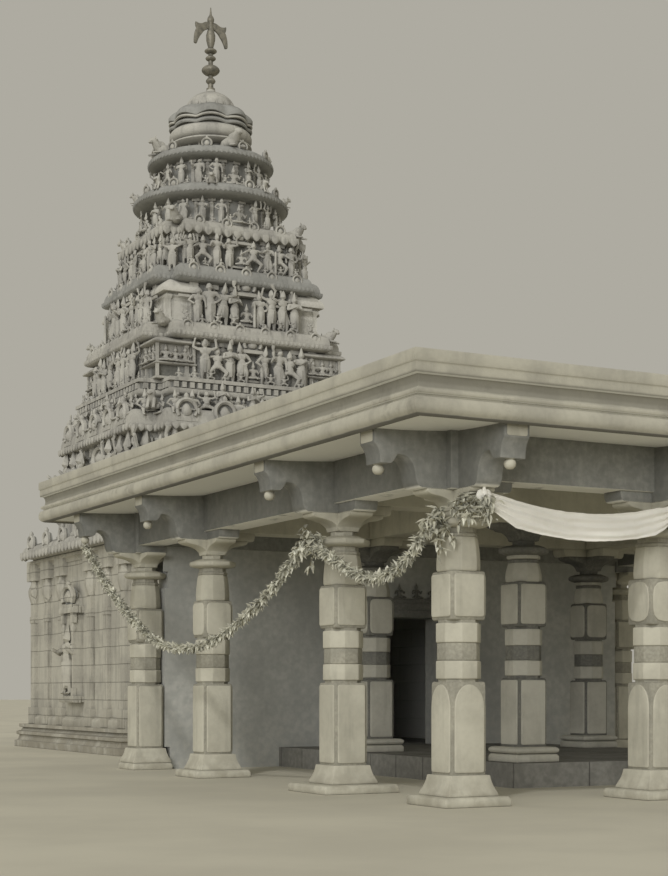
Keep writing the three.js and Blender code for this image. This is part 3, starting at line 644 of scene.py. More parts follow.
def pillar_form(floor, pad_half, arched, inner, corner):
    """A pillar on its floor. Inner ones are unpainted above their short necks."""
    bm = bmesh.new()
    foot = floor + 0.13
    base = floor + (0.24 if inner else 0.4)
    lift = 0.08 if inner else 0.0
    panel_top = 3.04 + lift * 1.8

    def stone(plan, profile, material, round_by=0.008):
        """One of the pillar's stones."""
        course(bm, plan, profile, material, None, round_by)

    low = floor + (GAP if floor else 0)
    stone(SQUARE, [(pad_half, low), (pad_half, foot - 0.03), (pad_half - 0.03, foot)], LIME, round_by=0.02)
    if inner:
        bulge = [(0.33, foot), (0.375, foot + 0.012), (0.398, foot + 0.035), (0.402, foot + 0.06)]
        bulge += [(0.392, foot + 0.085), (0.365, foot + 0.103), (0.305, base)]
    else:
        bulge = [(0.38, foot), (0.376, foot + 0.04)]
        bulge += bend((0.37, foot + 0.06), (0.32, foot + 0.13), (0.30, base), 5)
    stone(SQUARE, bulge, LIME, round_by=0.012)
    stone(SQUARE, [(BLOCK, base - 0.02), (BLOCK, 1.61 + lift)], STONE, round_by=0.035)
    stone(OCTAGON, [(0.245, 1.60), (0.245, 2.49)], STONE, round_by=0)
    bands = ((1.64, 1.88, 0.275, LIME), (1.879, 2.112, 0.262, STONE), (2.11, 2.37, 0.275, LIME))
    for low, high, half, material in bands:
        edge = 0.262 if half > 0.262 else 0.25
        band = [(edge, low), (half, low + 0.012), (half, high - 0.012), (edge, high)]
        stone(OCTAGON, [(reach, level + lift) for reach, level in band], material)
    stone(SQUARE, [(BLOCK - 0.003, 2.40 + lift), (BLOCK - 0.003, panel_top)], STONE, round_by=0.035)
    neck = [(0.255, panel_top - 0.005), (0.268, panel_top + 0.02), (0.27, panel_top + 0.08)]
    stone(OCTAGON, [*neck, *bend(neck[-1], (0.262, 3.36), (0.226 if inner else 0.232, 3.48), 5)], LIME)
    ring = [(0.215, 3.47), (0.235, 3.49), (0.235, 3.52), (0.215, 3.54), (0.21, 3.61)]
    stone(OCTAGON, ring, STONE, round_by=0)
    if inner:
        ring = [(0.21, 3.53), (0.245, 3.545), (0.25, 3.57), (0.245, 3.595), (0.21, 3.61)]
        stone(OCTAGON, ring, LIME, round_by=0)
    abacus = [(0.24, 3.60), *bend((0.25, 3.605), (0.35, 3.61), (0.37, 3.65), 4), (0.37, 3.70)]
    abacus += [(0.345, 3.715), (0.25, 3.75), (0.18, 3.755)]
    top = STONE if inner else LIME
    stone(OCTAGON, abacus, top)
    stone(OCTAGON, [(0.17, 3.74), (0.165, 3.78), (0.172, 3.86)], top, round_by=0)
    lower = panel_form(0.45, base + 0.03, 1.575 + lift, 0.035, 0.3 if arched else None)
    upper = panel_form(0.45, 2.445 + lift, panel_top - 0.04, corner)
    for degrees in SIDES:
        put(bm, lower, turn_z(degrees))
        put(bm, upper, turn_z(degrees))
    add_capital(bm, top)
    return shape(bm)


def add_pillars():
    """The free pillars of the grid. The rear wall takes the other two places."""
    rows = {"front": -OUTER, "second": -INNER, "third": INNER, "back": OUTER}
    lines = {"left": -OUTER, "mid_left": -INNER, "mid_right": INNER, "right": OUTER}
    forms = {}
    for row, y in rows.items():
        for line, x in lines.items():
            outer_line = abs(x) == OUTER
            if row == "back" and not outer_line:
                continue
            inner = not outer_line and row != "front"
            broad = row == "second" and outer_line
            pad_half = 0.4 if row == "back" or inner else 0.61 if broad else 0.5
            floor = 0.38 if inner else 0.0
            arched = row == "front"
            corner = 0.19 if row == "front" and not outer_line else 0.09 if row == "third" else 0.04
            key = (floor, pad_half, arched, inner, corner)
            if key not in forms:
                forms[key] = pillar_form(*key)
            bm = bmesh.new()
            put(bm, forms[key], moved(x, HALL_Y + y, 0))
            roughen(bm, amount=0.003, scale=2.5)
            looks = [INNER_SHADED_WASH, DARK_STONE] if inner else [WHITEWASH, BARE_STONE]
            piece(f"pillar_{row}_{line}_stone", bm, looks, [f"pillar_{row}_{line}"])


# Beams, corbels and struts


def strut_form():
    """An arm that carries the eave, with two curved steps and a hanging bud."""
    bm = bmesh.new()
    outline = [(-0.2, 4.08), (0.66, 4.08), *bend((0.66, 4.08), (0.75, 4.10), (0.76, 4.26), 6)]
    outline += bend((0.76, 4.26), (0.80, 4.50), (1.02, 4.48), 8)
    outline += bend((1.02, 4.48), (1.08, 4.36), (1.13, 4.36), 4)
    outline += [(1.27, 4.36)]
    outline += bend((1.27, 4.36), (1.27, 4.55), (1.36, 4.61), 5)
    outline += [(1.36, 4.7923), (0.25, BEAM_HIGH), (-0.2, BEAM_HIGH)]
    plate(bm, outline, 0.376)
    soften(bm, 0.012, 2)
    # The strut's end face and its bud keep their limewash, the second material.
    cap = bmesh.new()
    plate(cap, rounded(0.3, 0.15, 0.03, 3), 0.03, -1.352)
    put(bm, shape(cap), turn_z(90) @ moved(0, 0, 4.628), 1)
    bud = [(0.015, 4.232), (0.04, 4.236), (0.066, 4.262), (0.076, 4.30), (0.066, 4.335), (0.045, 4.352)]
    bud += [(0.062, 4.36), (0.062, 4.375), (0.05, 4.39)]
    course(bm, polygon(14), bud, 1, moved(1.2, 0, 0))
    return shape(bm)


def corbel_form():
    """A short arm under a beam."""
    bm = bmesh.new()
    outline = [(-0.1, 4.08), (0.66, 4.08), *bend((0.66, 4.08), (0.72, 4.09), (0.72, 4.23), 5), (-0.1, 4.23)]
    plate(bm, outline, 0.376)
    soften(bm, 0.01, 2)
    return shape(bm)


# A form that points along +X, turned to point to a side
POINTS = {"front": 270, "right": 0, "back": 90, "left": 180}


def add_arms(bm, form, x, y, *sides):
    """Sets down a strut or corbel at a pillar for each side that it points to."""
    for side in sides:
        put(bm, form, moved(x, HALL_Y + y, 0) @ turn_z(POINTS[side]))


def add_short_arm(bm, form, x, y, side):
    """The same for one side, shortened beside a stone that fills its root."""
    place = moved(x, HALL_Y + y, 0) @ turn_z(POINTS[side])
    put(bm, form, place @ moved(0.26, 0, 0) @ grown(0.64, 1, 1))


def cross_beam(bm, x0, x1, y0, y1):
    """A straight beam between two lines across and two lines along the hall."""
    block(bm, (x0, HALL_Y + y0, BEAM_LOW), (x1, HALL_Y + y1, BEAM_HIGH), 0.012)


def corner_block(bm, x, y):
    """The square stone that two struts spring from on a corner pillar."""
    block(bm, (x - 0.3, HALL_Y + y - 0.3, 4.0805), (x + 0.3, HALL_Y + y + 0.3, 4.9), 0.02)


def add_beams():
    """The beams on the pillars, with the struts that they carry."""
    strut, corbel = strut_form(), corbel_form()
    half, end = 0.25, OUTER + 0.25
    inside, between = OUTER - half - GAP, INNER - half - GAP
    looks = [SHADED_STONE, WHITEWASH]

    front = bmesh.new()
    cross_beam(front, -end, end, -end, -OUTER + half)
    for x in (-INNER, INNER):
        add_arms(front, corbel, x, -OUTER, "left", "right")
        add_arms(front, strut, x, -OUTER, "front")
    for x, side, inward in ((-OUTER, "left", "right"), (OUTER, "right", "left")):
        add_arms(front, corbel, x, -OUTER, inward)
        add_arms(front, strut, x, -OUTER, "front", side)
        corner_block(front, x, -OUTER)
    piece("front_beam_and_struts", front, looks, ["beam_front"])

    back = bmesh.new()
    cross_beam(back, -end, end, OUTER - half, end)
    for x, side in ((-OUTER, "left"), (OUTER, "right")):
        add_arms(back, strut, x, OUTER, "back", side)
        corner_block(back, x, OUTER)
    piece("back_beam_and_struts", back, looks, ["beam_back"])

    for side, x in (("left", -OUTER), ("right", OUTER)):
        bm = bmesh.new()
        cross_beam(bm, x - half, x + half, -inside, inside)
        for y in (-INNER, INNER):
            add_arms(bm, corbel, x, y, "front", "back")
            add_arms(bm, strut, x, y, side)
        piece(side + "_beam_and_struts", bm, looks, ["beam_" + side])

    for name, y in (("second", -INNER), ("third", INNER)):
        bm = bmesh.new()
        cross_beam(bm, -inside, inside, y - half, y + half)
        add_short_arm(bm, corbel, -OUTER, y, "right")
        for x in (-INNER, INNER):
            add_arms(bm, corbel, x, y, "left", "right")
        add_short_arm(bm, corbel, OUTER, y, "left")
        piece(name + "_cross_beam", bm, [WHITEWASH], ["beam_" + name])

    for name, x in (("mid_left", -INNER), ("mid_right", INNER)):
        bm = bmesh.new()
        cross_beam(bm, x - half, x + half, -between, between)
        add_short_arm(bm, corbel, x, -INNER, "back")
        add_short_arm(bm, corbel, x, INNER, "front")
        piece(name + "_beam", bm, [WHITEWASH], ["beam_" + name])


# Eaves: the section in (out from the pillar line, height), from the beam along the underside,
# round the lip and back over the top
EAVE = [(0.0, 4.92), (0.253, 4.92), (0.256, 4.83), *bend((0.256, 4.83), (0.85, 4.787), (1.36, 4.785), 6)]
EAVE += [(1.385, 4.80), (1.40, 4.775)]
EAVE += bend((1.40, 4.775), (1.42, 4.748), (1.46, 4.746), 3)
EAVE += bend((1.46, 4.746), (1.57, 4.75), (1.594, 4.84), 6)
EAVE += bend((1.594, 4.84), (1.60, 4.94), (1.555, 4.966), 5)
EAVE += [(1.522, 4.972), (1.520, 5.0), (1.556, 5.008), (1.562, 5.03), (1.558, 5.058), (1.508, 5.072)]
EAVE += bend((1.508, 5.072), (1.470, 5.155), (1.520, 5.235), 7)
EAVE += [(1.572, 5.245), (1.576, 5.31), (1.574, 5.374), (1.592, 5.384), (1.596, 5.40), (1.596, 5.51)]
EAVE += [(1.585, 5.5297), (0.9, 5.5297), (0.0, 5.5297)]


def add_eave(name, degrees, ends):
    """One side of the eave. Each end is mitred, or cut square at a place along it."""
    bm = bmesh.new()

    def along(out, end, sign):
        """Where the run ends, that far out from the pillar line."""
        return sign * (OUTER + out - GAP) if end is None else end

    near = [bm.verts.new((along(out, ends[0], -1), -OUTER - out, z)) for out, z in EAVE]
    for vert in draw_out(bm, bm.faces.new(near)):
        vert.co.x = along(-vert.co.y - OUTER, ends[1], 1)
    # The long edges, cut into lengths for the hand-laid unevenness
    lengths = [edge for edge in bm.edges if (edge.verts[0].co - edge.verts[1].co).yz.length < 1e-6]
    bmesh.ops.subdivide_edges(bm, edges=lengths, cuts=36 if ends == (None, None) else 12)
    # The runs meet face to face in their mitres, so the edges of their ends stay sharp.
    ends_of_run = {edge for face in bm.faces if len(face.verts) > 8 for edge in face.edges}
    soften(bm, 0.006, 2, degrees=50, spared=ends_of_run)
    bmesh.ops.transform(bm, matrix=moved(0, HALL_Y, 0) @ turn_z(degrees), verts=bm.verts)
    roughen(bm, amount=0.004, scale=1.7)
    piece(name + "_moulding", bm, [EAVE_WASH], [name])


def add_eaves():
    """The eave all round, open at the back where the vestibule's roof passes."""
    stop = 3.55 + GAP
    add_eave("eave_front", FRONT, (None, None))
    add_eave("eave_right", RIGHT, (None, None))
    add_eave("eave_left", LEFT, (None, None))
    add_eave("eave_back_right", BACK, (None, -stop))
    add_eave("eave_back_left", BACK, (stop, None))


# Figures: plain temple figures of one family, facing -Y, about one unit tall with their crowns


def limb(bm, start, end, thick, thin):
    """A tapered limb between two joints."""
    start, end = Vector(start), Vector(end)
    along = end - start
    turn = along.to_track_quat("Z", "Y").to_matrix().to_4x4()
    place = Matrix.Translation((start + end) / 2) @ turn
    bmesh.ops.create_cone(
        bm, cap_ends=True, segments=8, radius1=thick, radius2=thin, depth=along.length, matrix=place
    )
    ball(bm, end, (thin,) * 3)


def ball(bm, middle, size):
    """A ball with its own half width, depth and height."""
    place = Matrix.Translation(middle) @ grown(*size)
    bmesh.ops.create_icosphere(bm, subdivisions=2, radius=1, matrix=place)


def melt(bm, grain, faces):
    """Melts overlapping parts into one skin of about that many triangles."""
    rough = add_object("melting", shape(bm))
    skin = rough.modifiers.new("skin", "REMESH")
    skin.mode = "VOXEL"
    skin.voxel_size = grain
    ease = rough.modifiers.new("ease", "SMOOTH")
    ease.iterations = 2
    ease.factor = 0.4
    thin = rough.modifiers.new("thin", "DECIMATE")
    thin.use_collapse_triangulate = True
    count = len(rough.evaluated_get(bpy.context.evaluated_depsgraph_get()).data.polygons)
    thin.ratio = min(1.0, faces / (2 * count))
    graph = bpy.context.evaluated_depsgraph_get()
    form = bpy.data.meshes.new_from_object(rough.evaluated_get(graph))
    worn = rough.data
    bpy.data.objects.remove(rough)
    bpy.data.meshes.remove(worn)
    return form


def person(arms, legs, rise=0.0, lean=0.0, skirt=0.12, crown=0.15, belly=0.055, extra=()):
    """A figure. arms and legs give [elbow, hand] and [knee, ankle], the right one first."""
    bm = bmesh.new()
    hip = 0.46 + rise

    def up(x, y, z):
        """A place on the upper body, which leans and rises."""
        return (x + lean * (z - 0.46), y, z + rise)

    ball(bm, (0, 0, hip), (0.088, 0.066, 0.06))
    ball(bm, up(0, -0.012, 0.535), (0.066, belly, 0.07))
    ball(bm, up(0, 0, 0.635), (0.094, 0.062, 0.078))
    limb(bm, up(-0.10, 0, 0.69), up(0.10, 0, 0.69), 0.036, 0.036)
    limb(bm, up(0, 0, 0.69), up(0, -0.006, 0.76), 0.03, 0.028)
    ball(bm, up(0, -0.012, 0.795), (0.047, 0.05, 0.058))
    ball(bm, up(0, -0.06, 0.79), (0.01, 0.014, 0.014))
    for side in (-1, 1):
        ball(bm, up(side * 0.05, 0, 0.785), (0.012, 0.014, 0.026))
    if crown:
        limb(bm, up(0, 0, 0.825), up(0, 0, 0.85), 0.052, 0.046)
        limb(bm, up(0, 0, 0.85), up(0, 0, 0.85 + crown * 0.7), 0.042, 0.018)
        ball(bm, up(0, 0, 0.85 + crown * 0.9), (0.016, 0.016, 0.02))
    else:
        ball(bm, up(0.02, 0.03, 0.845), (0.04, 0.034, 0.034))
    for side, (elbow, hand) in zip((-1, 1), arms):
        shoulder = up(side * 0.112, 0, 0.685)
        limb(bm, shoulder, up(*elbow), 0.034, 0.026)
        limb(bm, up(*elbow), up(*hand), 0.026, 0.02)
        ball(bm, up(*hand), (0.025, 0.027, 0.03))
    for side, (knee, ankle) in zip((-1, 1), legs):
        limb(bm, (side * 0.045, 0, hip - 0.01), knee, 0.052, 0.04)
        limb(bm, knee, ankle, 0.038, 0.026)
        ball(bm, (ankle[0], ankle[1] - 0.03, ankle[2] - 0.016), (0.027, 0.05, 0.02))
    if skirt:
        limb(bm, (0, 0, hip), (0, -0.004, hip - skirt - 0.14), 0.085, 0.066)
        limb(bm, (0, -0.07, hip - 0.01), (0, -0.055, hip - skirt - 0.2), 0.024, 0.016)
    limb(bm, (-0.075, -0.015, hip + 0.045), (0.075, -0.015, hip + 0.045), 0.02, 0.02)
    for part in extra:
        limb(bm, *part)
    return melt(bm, grain=0.0125, faces=360)


def lion():
    """A seated guardian lion with a curled mane."""
    bm = bmesh.new()
    limb(bm, (0, 0.2, 0.16), (0, -0.06, 0.46), 0.15, 0.13)
    ball(bm, (0, 0.22, 0.17), (0.16, 0.19, 0.16))
    ball(bm, (0, -0.10, 0.62), (0.15, 0.13, 0.17))
    ball(bm, (0, -0.22, 0.62), (0.095, 0.1, 0.09))
    ball(bm, (0, -0.3, 0.585), (0.06, 0.05, 0.045))
    for side in (-1, 1):
        limb(bm, (side * 0.09, -0.08, 0.42), (side * 0.1, -0.2, 0.03), 0.06, 0.045)
        ball(bm, (side * 0.1, -0.24, 0.035), (0.055, 0.075, 0.035))
        ball(bm, (side * 0.15, 0.14, 0.12), (0.08, 0.15, 0.12))
        ball(bm, (side * 0.15, 0.0, 0.04), (0.055, 0.09, 0.04))
        ball(bm, (side * 0.1, -0.1, 0.78), (0.035, 0.025, 0.05))
    limb(bm, (0, 0.36, 0.1), (0.04, 0.43, 0.34), 0.035, 0.03)
    limb(bm, (0.04, 0.43, 0.34), (-0.02, 0.34, 0.5), 0.03, 0.045)
    return melt(bm, grain=0.018, faces=420)


def bull():
    """A resting bull."""
    bm = bmesh.new()
    ball(bm, (0, 0.12, 0.24), (0.2, 0.38, 0.22))
    ball(bm, (0, -0.04, 0.43), (0.12, 0.16, 0.14))
    limb(bm, (0, -0.14, 0.32), (0, -0.26, 0.52), 0.15, 0.12)
    ball(bm, (0, -0.33, 0.55), (0.105, 0.13, 0.11))
    ball(bm, (0, -0.42, 0.48), (0.075, 0.07, 0.07))
    for side in (-1, 1):
        limb(bm, (side * 0.07, -0.29, 0.62), (side * 0.12, -0.29, 0.71), 0.032, 0.018)
        ball(bm, (side * 0.14, -0.27, 0.56), (0.05, 0.035, 0.03))
        limb(bm, (side * 0.13, -0.12, 0.12), (side * 0.16, -0.38, 0.05), 0.06, 0.04)
        ball(bm, (side * 0.17, 0.32, 0.1), (0.08, 0.15, 0.1))
    return melt(bm, grain=0.018, faces=420)


ON_FEET = [((-0.05, -0.012, 0.25), (-0.052, 0, 0.045)), ((0.05, -0.012, 0.25), (0.052, 0, 0.045))]
AT_EASE = [((-0.05, -0.012, 0.25), (-0.045, 0, 0.045)), ((0.085, -0.05, 0.27), (0.075, -0.02, 0.045))]
BENT = [((-0.17, -0.05, 0.24), (-0.09, 0, 0.045)), ((0.17, -0.05, 0.24), (0.09, 0, 0.045))]
CROSSED = [((-0.19, -0.1, 0.06), (0.03, -0.16, 0.045)), ((0.19, -0.1, 0.06), (-0.03, -0.17, 0.06))]
SEATED = [((-0.17, -0.12, 0.16), (0.02, -0.15, 0.13)), ((0.10, -0.16, 0.15), (0.10, -0.17, 0.03))]


def make_figures():
    """The family of figures, by pose."""
    hip_right = ((-0.18, 0.02, 0.57), (-0.095, -0.045, 0.49))
    hip_left = ((0.18, 0.02, 0.57), (0.095, -0.045, 0.49))
    down_right, down_left = ((-0.15, 0, 0.56), (-0.155, -0.03, 0.43)), ((0.15, 0, 0.56), (0.155, -0.03, 0.43))
    bless = ((-0.16, -0.02, 0.57), (-0.15, -0.12, 0.66))
    gift = ((0.16, -0.02, 0.57), (0.15, -0.12, 0.64))
    high_right, high_left = ((-0.2, 0, 0.73), (-0.17, -0.02, 0.9)), ((0.2, 0, 0.73), (0.17, -0.02, 0.9))
    joined = [((-0.14, -0.04, 0.57), (-0.018, -0.115, 0.62)), ((0.14, -0.04, 0.57), (0.018, -0.115, 0.62))]
    wide = [((-0.2, -0.02, 0.66), (-0.3, -0.06, 0.74)), ((0.2, -0.02, 0.62), (0.28, -0.06, 0.55))]
    staff = [((0.16, -0.12, 0.66), (0.165, -0.12, 0.05), 0.022, 0.034)]
    mace = [((-0.17, -0.03, 0.9), (-0.19, -0.02, 1.02), 0.02, 0.045)]
    flower = [((-0.15, -0.12, 0.66), (-0.15, -0.12, 0.78), 0.014, 0.034)]
    fans = [((side * 0.17, -0.02, 0.9), (side * 0.22, 0.0, 1.0), 0.02, 0.04) for side in (-1, 1)]
    return {
        "greeting": person(joined, ON_FEET),
        "guardian": person([hip_right, gift], AT_EASE, lean=0.06, extra=staff),
        "warrior": person([high_right, hip_left], AT_EASE, lean=-0.08, skirt=0.05, extra=mace),
        "blessing": person([bless, gift], ON_FEET, skirt=0.16),
        "maiden": person([bless, down_left], AT_EASE, lean=0.12, skirt=0.2, crown=0, extra=flower),
        "porter": person([high_right, high_left], ON_FEET, skirt=0.06, crown=0.06),
        "dancer": person(wide, BENT, rise=-0.07, skirt=0, crown=0.1),
        "attendant": person([down_right, hip_left], ON_FEET, lean=-0.05, skirt=0.2, crown=0.04),
        "fan_bearer": person([high_right, high_left], AT_EASE, lean=0.05, skirt=0.16, crown=0.08, extra=fans),
        "seated": person([bless, gift], CROSSED, rise=-0.34, skirt=0, crown=0.15),
        "at_rest": person([bless, hip_left], SEATED, rise=-0.27, skirt=0, crown=0.13),
        "dwarf": person([high_right, high_left], BENT, rise=-0.16, skirt=0, crown=0.03, belly=0.1),
        "lion": lion(),
        "bull": bull(),
    }


STANDING = [
    "greeting", "guardian", "warrior", "blessing", "maiden", "porter", "attendant", "fan_bearer", "dancer",
]


# Tower: ornament that repeats

# Dark stucco stands mostly as painted shade in the tower's recesses.
DARK, OTHER = 1, 2  # places of a tower piece's dark stucco, and of a square storey's third material


def hoop(bm, radius, thick, middle, depth):
    """A horseshoe ring around the Y axis, its middle given as (y, z)."""
    sweep, steps = 250, 12
    start = math.radians(-90 + (360 - sweep) / 2)
    place = moved(0, 0, middle[1]) @ Matrix.Rotation(-start, 4, "Y")
    across = moved(radius, middle[0], 0) @ grown(1, depth / thick, 1)
    ring = bmesh.ops.create_circle(bm, cap_ends=True, segments=6, radius=thick, matrix=place @ across)
    faces = list({face for vert in ring["verts"] for face in vert.link_faces})
    bmesh.ops.spin(
        bm, geom=faces, cent=(0, middle[0], middle[1]), axis=(0, -1, 0), angle=math.radians(sweep),
        steps=steps, use_duplicate=False,
    )


def arch_form():
    """A horseshoe arch with a boss in it and a bud on top, one unit wide, its foot on height 0."""
    bm = bmesh.new()
    hoop(bm, radius=0.4, thick=0.09, middle=(-0.06, 0.42), depth=0.12)
    # The disc at the back of the arch is dark stucco, painted shade of the arch's hollow.
    disc = bmesh.new()
    turns = [math.pi * 2 * step / 12 for step in range(12)]
    plate(disc, [(0.4 * math.cos(turn), 0.42 + 0.4 * math.sin(turn)) for turn in turns], 0.16, 0.06)
    put(bm, shape(disc), None, DARK)
    boss = [(0.12, 0.2), (0.2, 0.3), (0.21, 0.45), (0.12, 0.6), (0.05, 0.66)]
    course(bm, OCTAGON, boss, 0, moved(0, -0.04, 0) @ grown(1, 0.7, 1))
    bud = [(0.07, 0.84), (0.1, 0.92), (0.08, 1.0), (0.02, 1.08)]
    course(bm, OCTAGON, bud, 0, moved(0, -0.05, 0))
    box(bm, (-0.46, -0.14, -0.02), (0.46, 0.1, 0.1))
    return shape(bm)


def petal_form():
    """A leaf of a lotus course, one unit tall, bulging to the front."""
    bm = bmesh.new()
    outline = [(-0.3, 0), (0.3, 0), *bend((0.3, 0), (0.62, 0.6), (0, 1.0), 4)]
    outline += bend((0, 1.0), (-0.62, 0.6), (-0.3, 0), 4)[:-1]
    plate(bm, outline, 0.16)
    front = [face for face in bm.faces if all(vert.co.y < 0 for vert in face.verts)]
    for vert in bmesh.ops.poke(bm, faces=front)["verts"]:
        vert.co.y -= 0.16
    return shape(bm)


def pilaster_form():
    """A wall pilaster with a base, a bell and a bracket, one unit tall."""
    bm = bmesh.new()
    box(bm, (-0.075, -0.06, 0), (0.075, 0.05, 0.1))
    box(bm, (-0.05, -0.04, 0.1), (0.05, 0.05, 0.76))
    box(bm, (-0.058, -0.048, 0.62), (0.058, 0.05, 0.66))
    course(bm, OCTAGON, [(0.05, 0.74), (0.075, 0.79), (0.078, 0.82), (0.05, 0.86), (0.045, 0.88)])
    box(bm, (-0.11, -0.06, 0.88), (0.11, 0.05, 1.0))
    return shape(bm)


def shrine_form():
    """A small square shrine with corner posts, a drooping eave, a domed roof and a pot."""
    bm = bmesh.new()
    moulded(bm, SQUARE, [(0.30, 0), (0.30, 0.05), (0.27, 0.07), (0.27, 0.10)])
    course(bm, SQUARE, [(0.2, 0.08), (0.2, 0.56)], DARK)
    for x, y in corners(0.22):
        box(bm, (x - 0.035, y - 0.035, 0.09), (x + 0.035, y + 0.035, 0.55))
    eave = [*bend((0.2, 0.5), (0.33, 0.51), (0.34, 0.55), 4), (0.34, 0.575)]
    moulded(bm, SQUARE, [(0.2, 0.5), *eave, *bend((0.34, 0.575), (0.31, 0.63), (0.22, 0.65), 4)])
    dome = [(0.2, 0.64), (0.2, 0.68), (0.27, 0.70), (0.285, 0.76), (0.25, 0.83), (0.16, 0.89), (0.06, 0.92)]
    moulded(bm, OCTAGON, dome)
    moulded(bm, OCTAGON, [(0.025, 0.91), (0.05, 0.94), (0.05, 0.96), (0.02, 0.98), (0.012, 1.0)])
    for degrees in SIDES:
        put(bm, ARCH, turn_z(degrees) @ moved(0, -0.27, 0.68) @ Matrix.Scale(0.26, 4))
    return shape(bm)


def hut_form():
    """A pale corner pavilion, pilastered, with a curved hipped roof. One unit tall."""
    bm = bmesh.new()
    foot = [(0.33, 0), (0.34, 0.015), (0.34, 0.05), (0.32, 0.07)]
    walls = [(0.27, 0.08), (0.27, 0.5), (0.3, 0.53), (0.3, 0.56), (0.28, 0.58), (0.28, 0.62)]
    moulded(bm, SQUARE, [*foot, *walls])
    post = [(0.06, 0.05), (0.06, 0.1), (0.045, 0.12), (0.04, 0.46), (0.055, 0.48), (0.07, 0.52), (0.07, 0.55)]
    for x, y in corners(0.25):
        course(bm, SQUARE, post, 0, moved(x, y, 0))
    roof = [(0.30, 0.60), (0.40, 0.60), (0.41, 0.64), *bend((0.41, 0.64), (0.37, 0.80), (0.16, 0.88), 5)]
    moulded(bm, SQUARE, [*roof, (0.12, 0.90), (0.12, 0.93)])
    moulded(bm, OCTAGON, [(0.04, 0.92), (0.07, 0.95), (0.05, 0.98), (0.015, 1.03)])
    return shape(bm)


def niche_form():
    """A deep niche: two posts, a lintel on brackets and a horseshoe gable. One unit tall."""
    bm = bmesh.new()
    for x in (-0.25, 0.25):
        put(bm, PILASTER, moved(x, -0.06, 0) @ Matrix.Scale(0.66, 4))
    box(bm, (-0.34, -0.12, 0.64), (0.34, 0.06, 0.7))
    box(bm, (-0.30, -0.13, 0), (0.30, 0.05, 0.05))
    put(bm, ARCH, moved(0, -0.02, 0.69) @ grown(0.5, 0.5, 0.34))
    return shape(bm)


def kiosk_form():
    """A corner kiosk: a dark recess, a ledge for seated figures, posts and a drooping hood."""
    bm = bmesh.new()
    course(bm, SQUARE, [(0.38, 0.02), (0.38, 0.38)], OTHER)
    course(bm, SQUARE, [(0.43, 0.37), (0.43, 0.86)])
    moulded(bm, SQUARE, [(0.52, 0), (0.53, 0.02), (0.53, 0.05), (0.51, 0.06)])
    moulded(bm, SQUARE, [(0.50, 0.35), (0.53, 0.37), (0.53, 0.40), (0.51, 0.41)])
    for x, y in corners(0.47):
        box(bm, (x - 0.035, y - 0.035, 0.05), (x + 0.035, y + 0.035, 0.87))
    hood = [(0.44, 0.85), *bend((0.44, 0.85), (0.58, 0.84), (0.6, 0.88), 4), (0.6, 0.9)]
    moulded(bm, SQUARE, [*hood, *bend((0.6, 0.9), (0.56, 0.97), (0.4, 1.0), 4), (0.3, 1.04)])
    return shape(bm)


def along_edge(half, spacing, level, notches=True):
    """Places that face outwards along a storey's notched outline."""
    stretches = [(-0.8, 0.8, -1)] + ([(-1, -0.8, -0.8), (0.8, 1, -0.8)] if notches else [])
    for degrees in SIDES:
        for start, end, front in stretches:
            count = max(1, round((end - start) * half / spacing))
            for step in range(count):
                x = (start + (end - start) * (step + 0.5) / count) * half
                yield turn_z(degrees) @ moved(x, front * half, level)


def around(radius, count, level, start=0.0):
    """Places that face outwards on a circle."""
    for step in range(count):
        yield turn_z(360 * (step + start) / count) @ moved(0, -radius, level)


def add_figure(bm, pose, place, height):
    """A figure of about that height, a little turned and uneven, as hand-made ones are."""
    size = height * dice.uniform(0.94, 1.04)
    side = dice.choice((-1, 1))
    form = FIGURES[pose].copy()
    build = grown(side * 1.3 * size, 1.12 * size, size)
    form.transform(place @ turn_z(dice.uniform(-14, 14)) @ build)
    if side < 0:
        form.flip_normals()
    bm.from_mesh(form)
    bpy.data.meshes.remove(form)


def side_place(place):
    """How far along its side a place is, from the side's middle."""
    return (place.to_3x3().inverted() @ place.translation).x


def add_crowd(bm, places, height, poses, gap=None):
    """A row of figures, all different. gap is the half width kept clear in the middle of a side."""
    for place in places:
        if gap is None or abs(side_place(place)) > gap:
            shift = moved(dice.uniform(-0.03, 0.03), dice.uniform(-0.03, 0.02), 0)
            add_figure(bm, dice.choice(poses), place @ shift, height * dice.uniform(0.94, 1.06))


def hang_petals(bm, places, width, length, dark=False):
    """A hem of petals that point down from a lip."""
    for place in places:
        upside = Matrix.Rotation(math.pi, 4, "Y") @ grown(width, width, length)
        put(bm, PETAL, place @ upside, DARK if dark else 0)


def cornice(bm, plan, wall, wall_top, edge, lip, top, back, dark=False):
    """A cornice: a curved soffit, an upright lip and a curved top back to the next storey's foot."""
    profile = [(wall, wall_top), *bend((wall, wall_top), (edge - 0.02, wall_top + 0.01), (edge, lip), 4)]
    profile += [(edge, lip + 0.07), (edge - 0.05, lip + 0.085)]
    profile += bend((edge - 0.05, lip + 0.085), (edge - 0.07, top - 0.03), (back + 0.08, top - 0.02), 5)
    course(bm, plan, profile, DARK if dark else 0)
    course(bm, plan, [(back + 0.08, top - 0.1), (back + 0.08, top - 0.02), (back, top)])


def tower_piece(name, bm, replaces, looks=(STUCCO, DARK_STUCCO)):
    """A finished piece, set down at the tower's axis."""
    bmesh.ops.translate(bm, vec=(0, TOWER_Y, 0), verts=bm.verts)
    piece(name, bm, looks, [replaces])


# Tower: its storeys, from the tower's axis


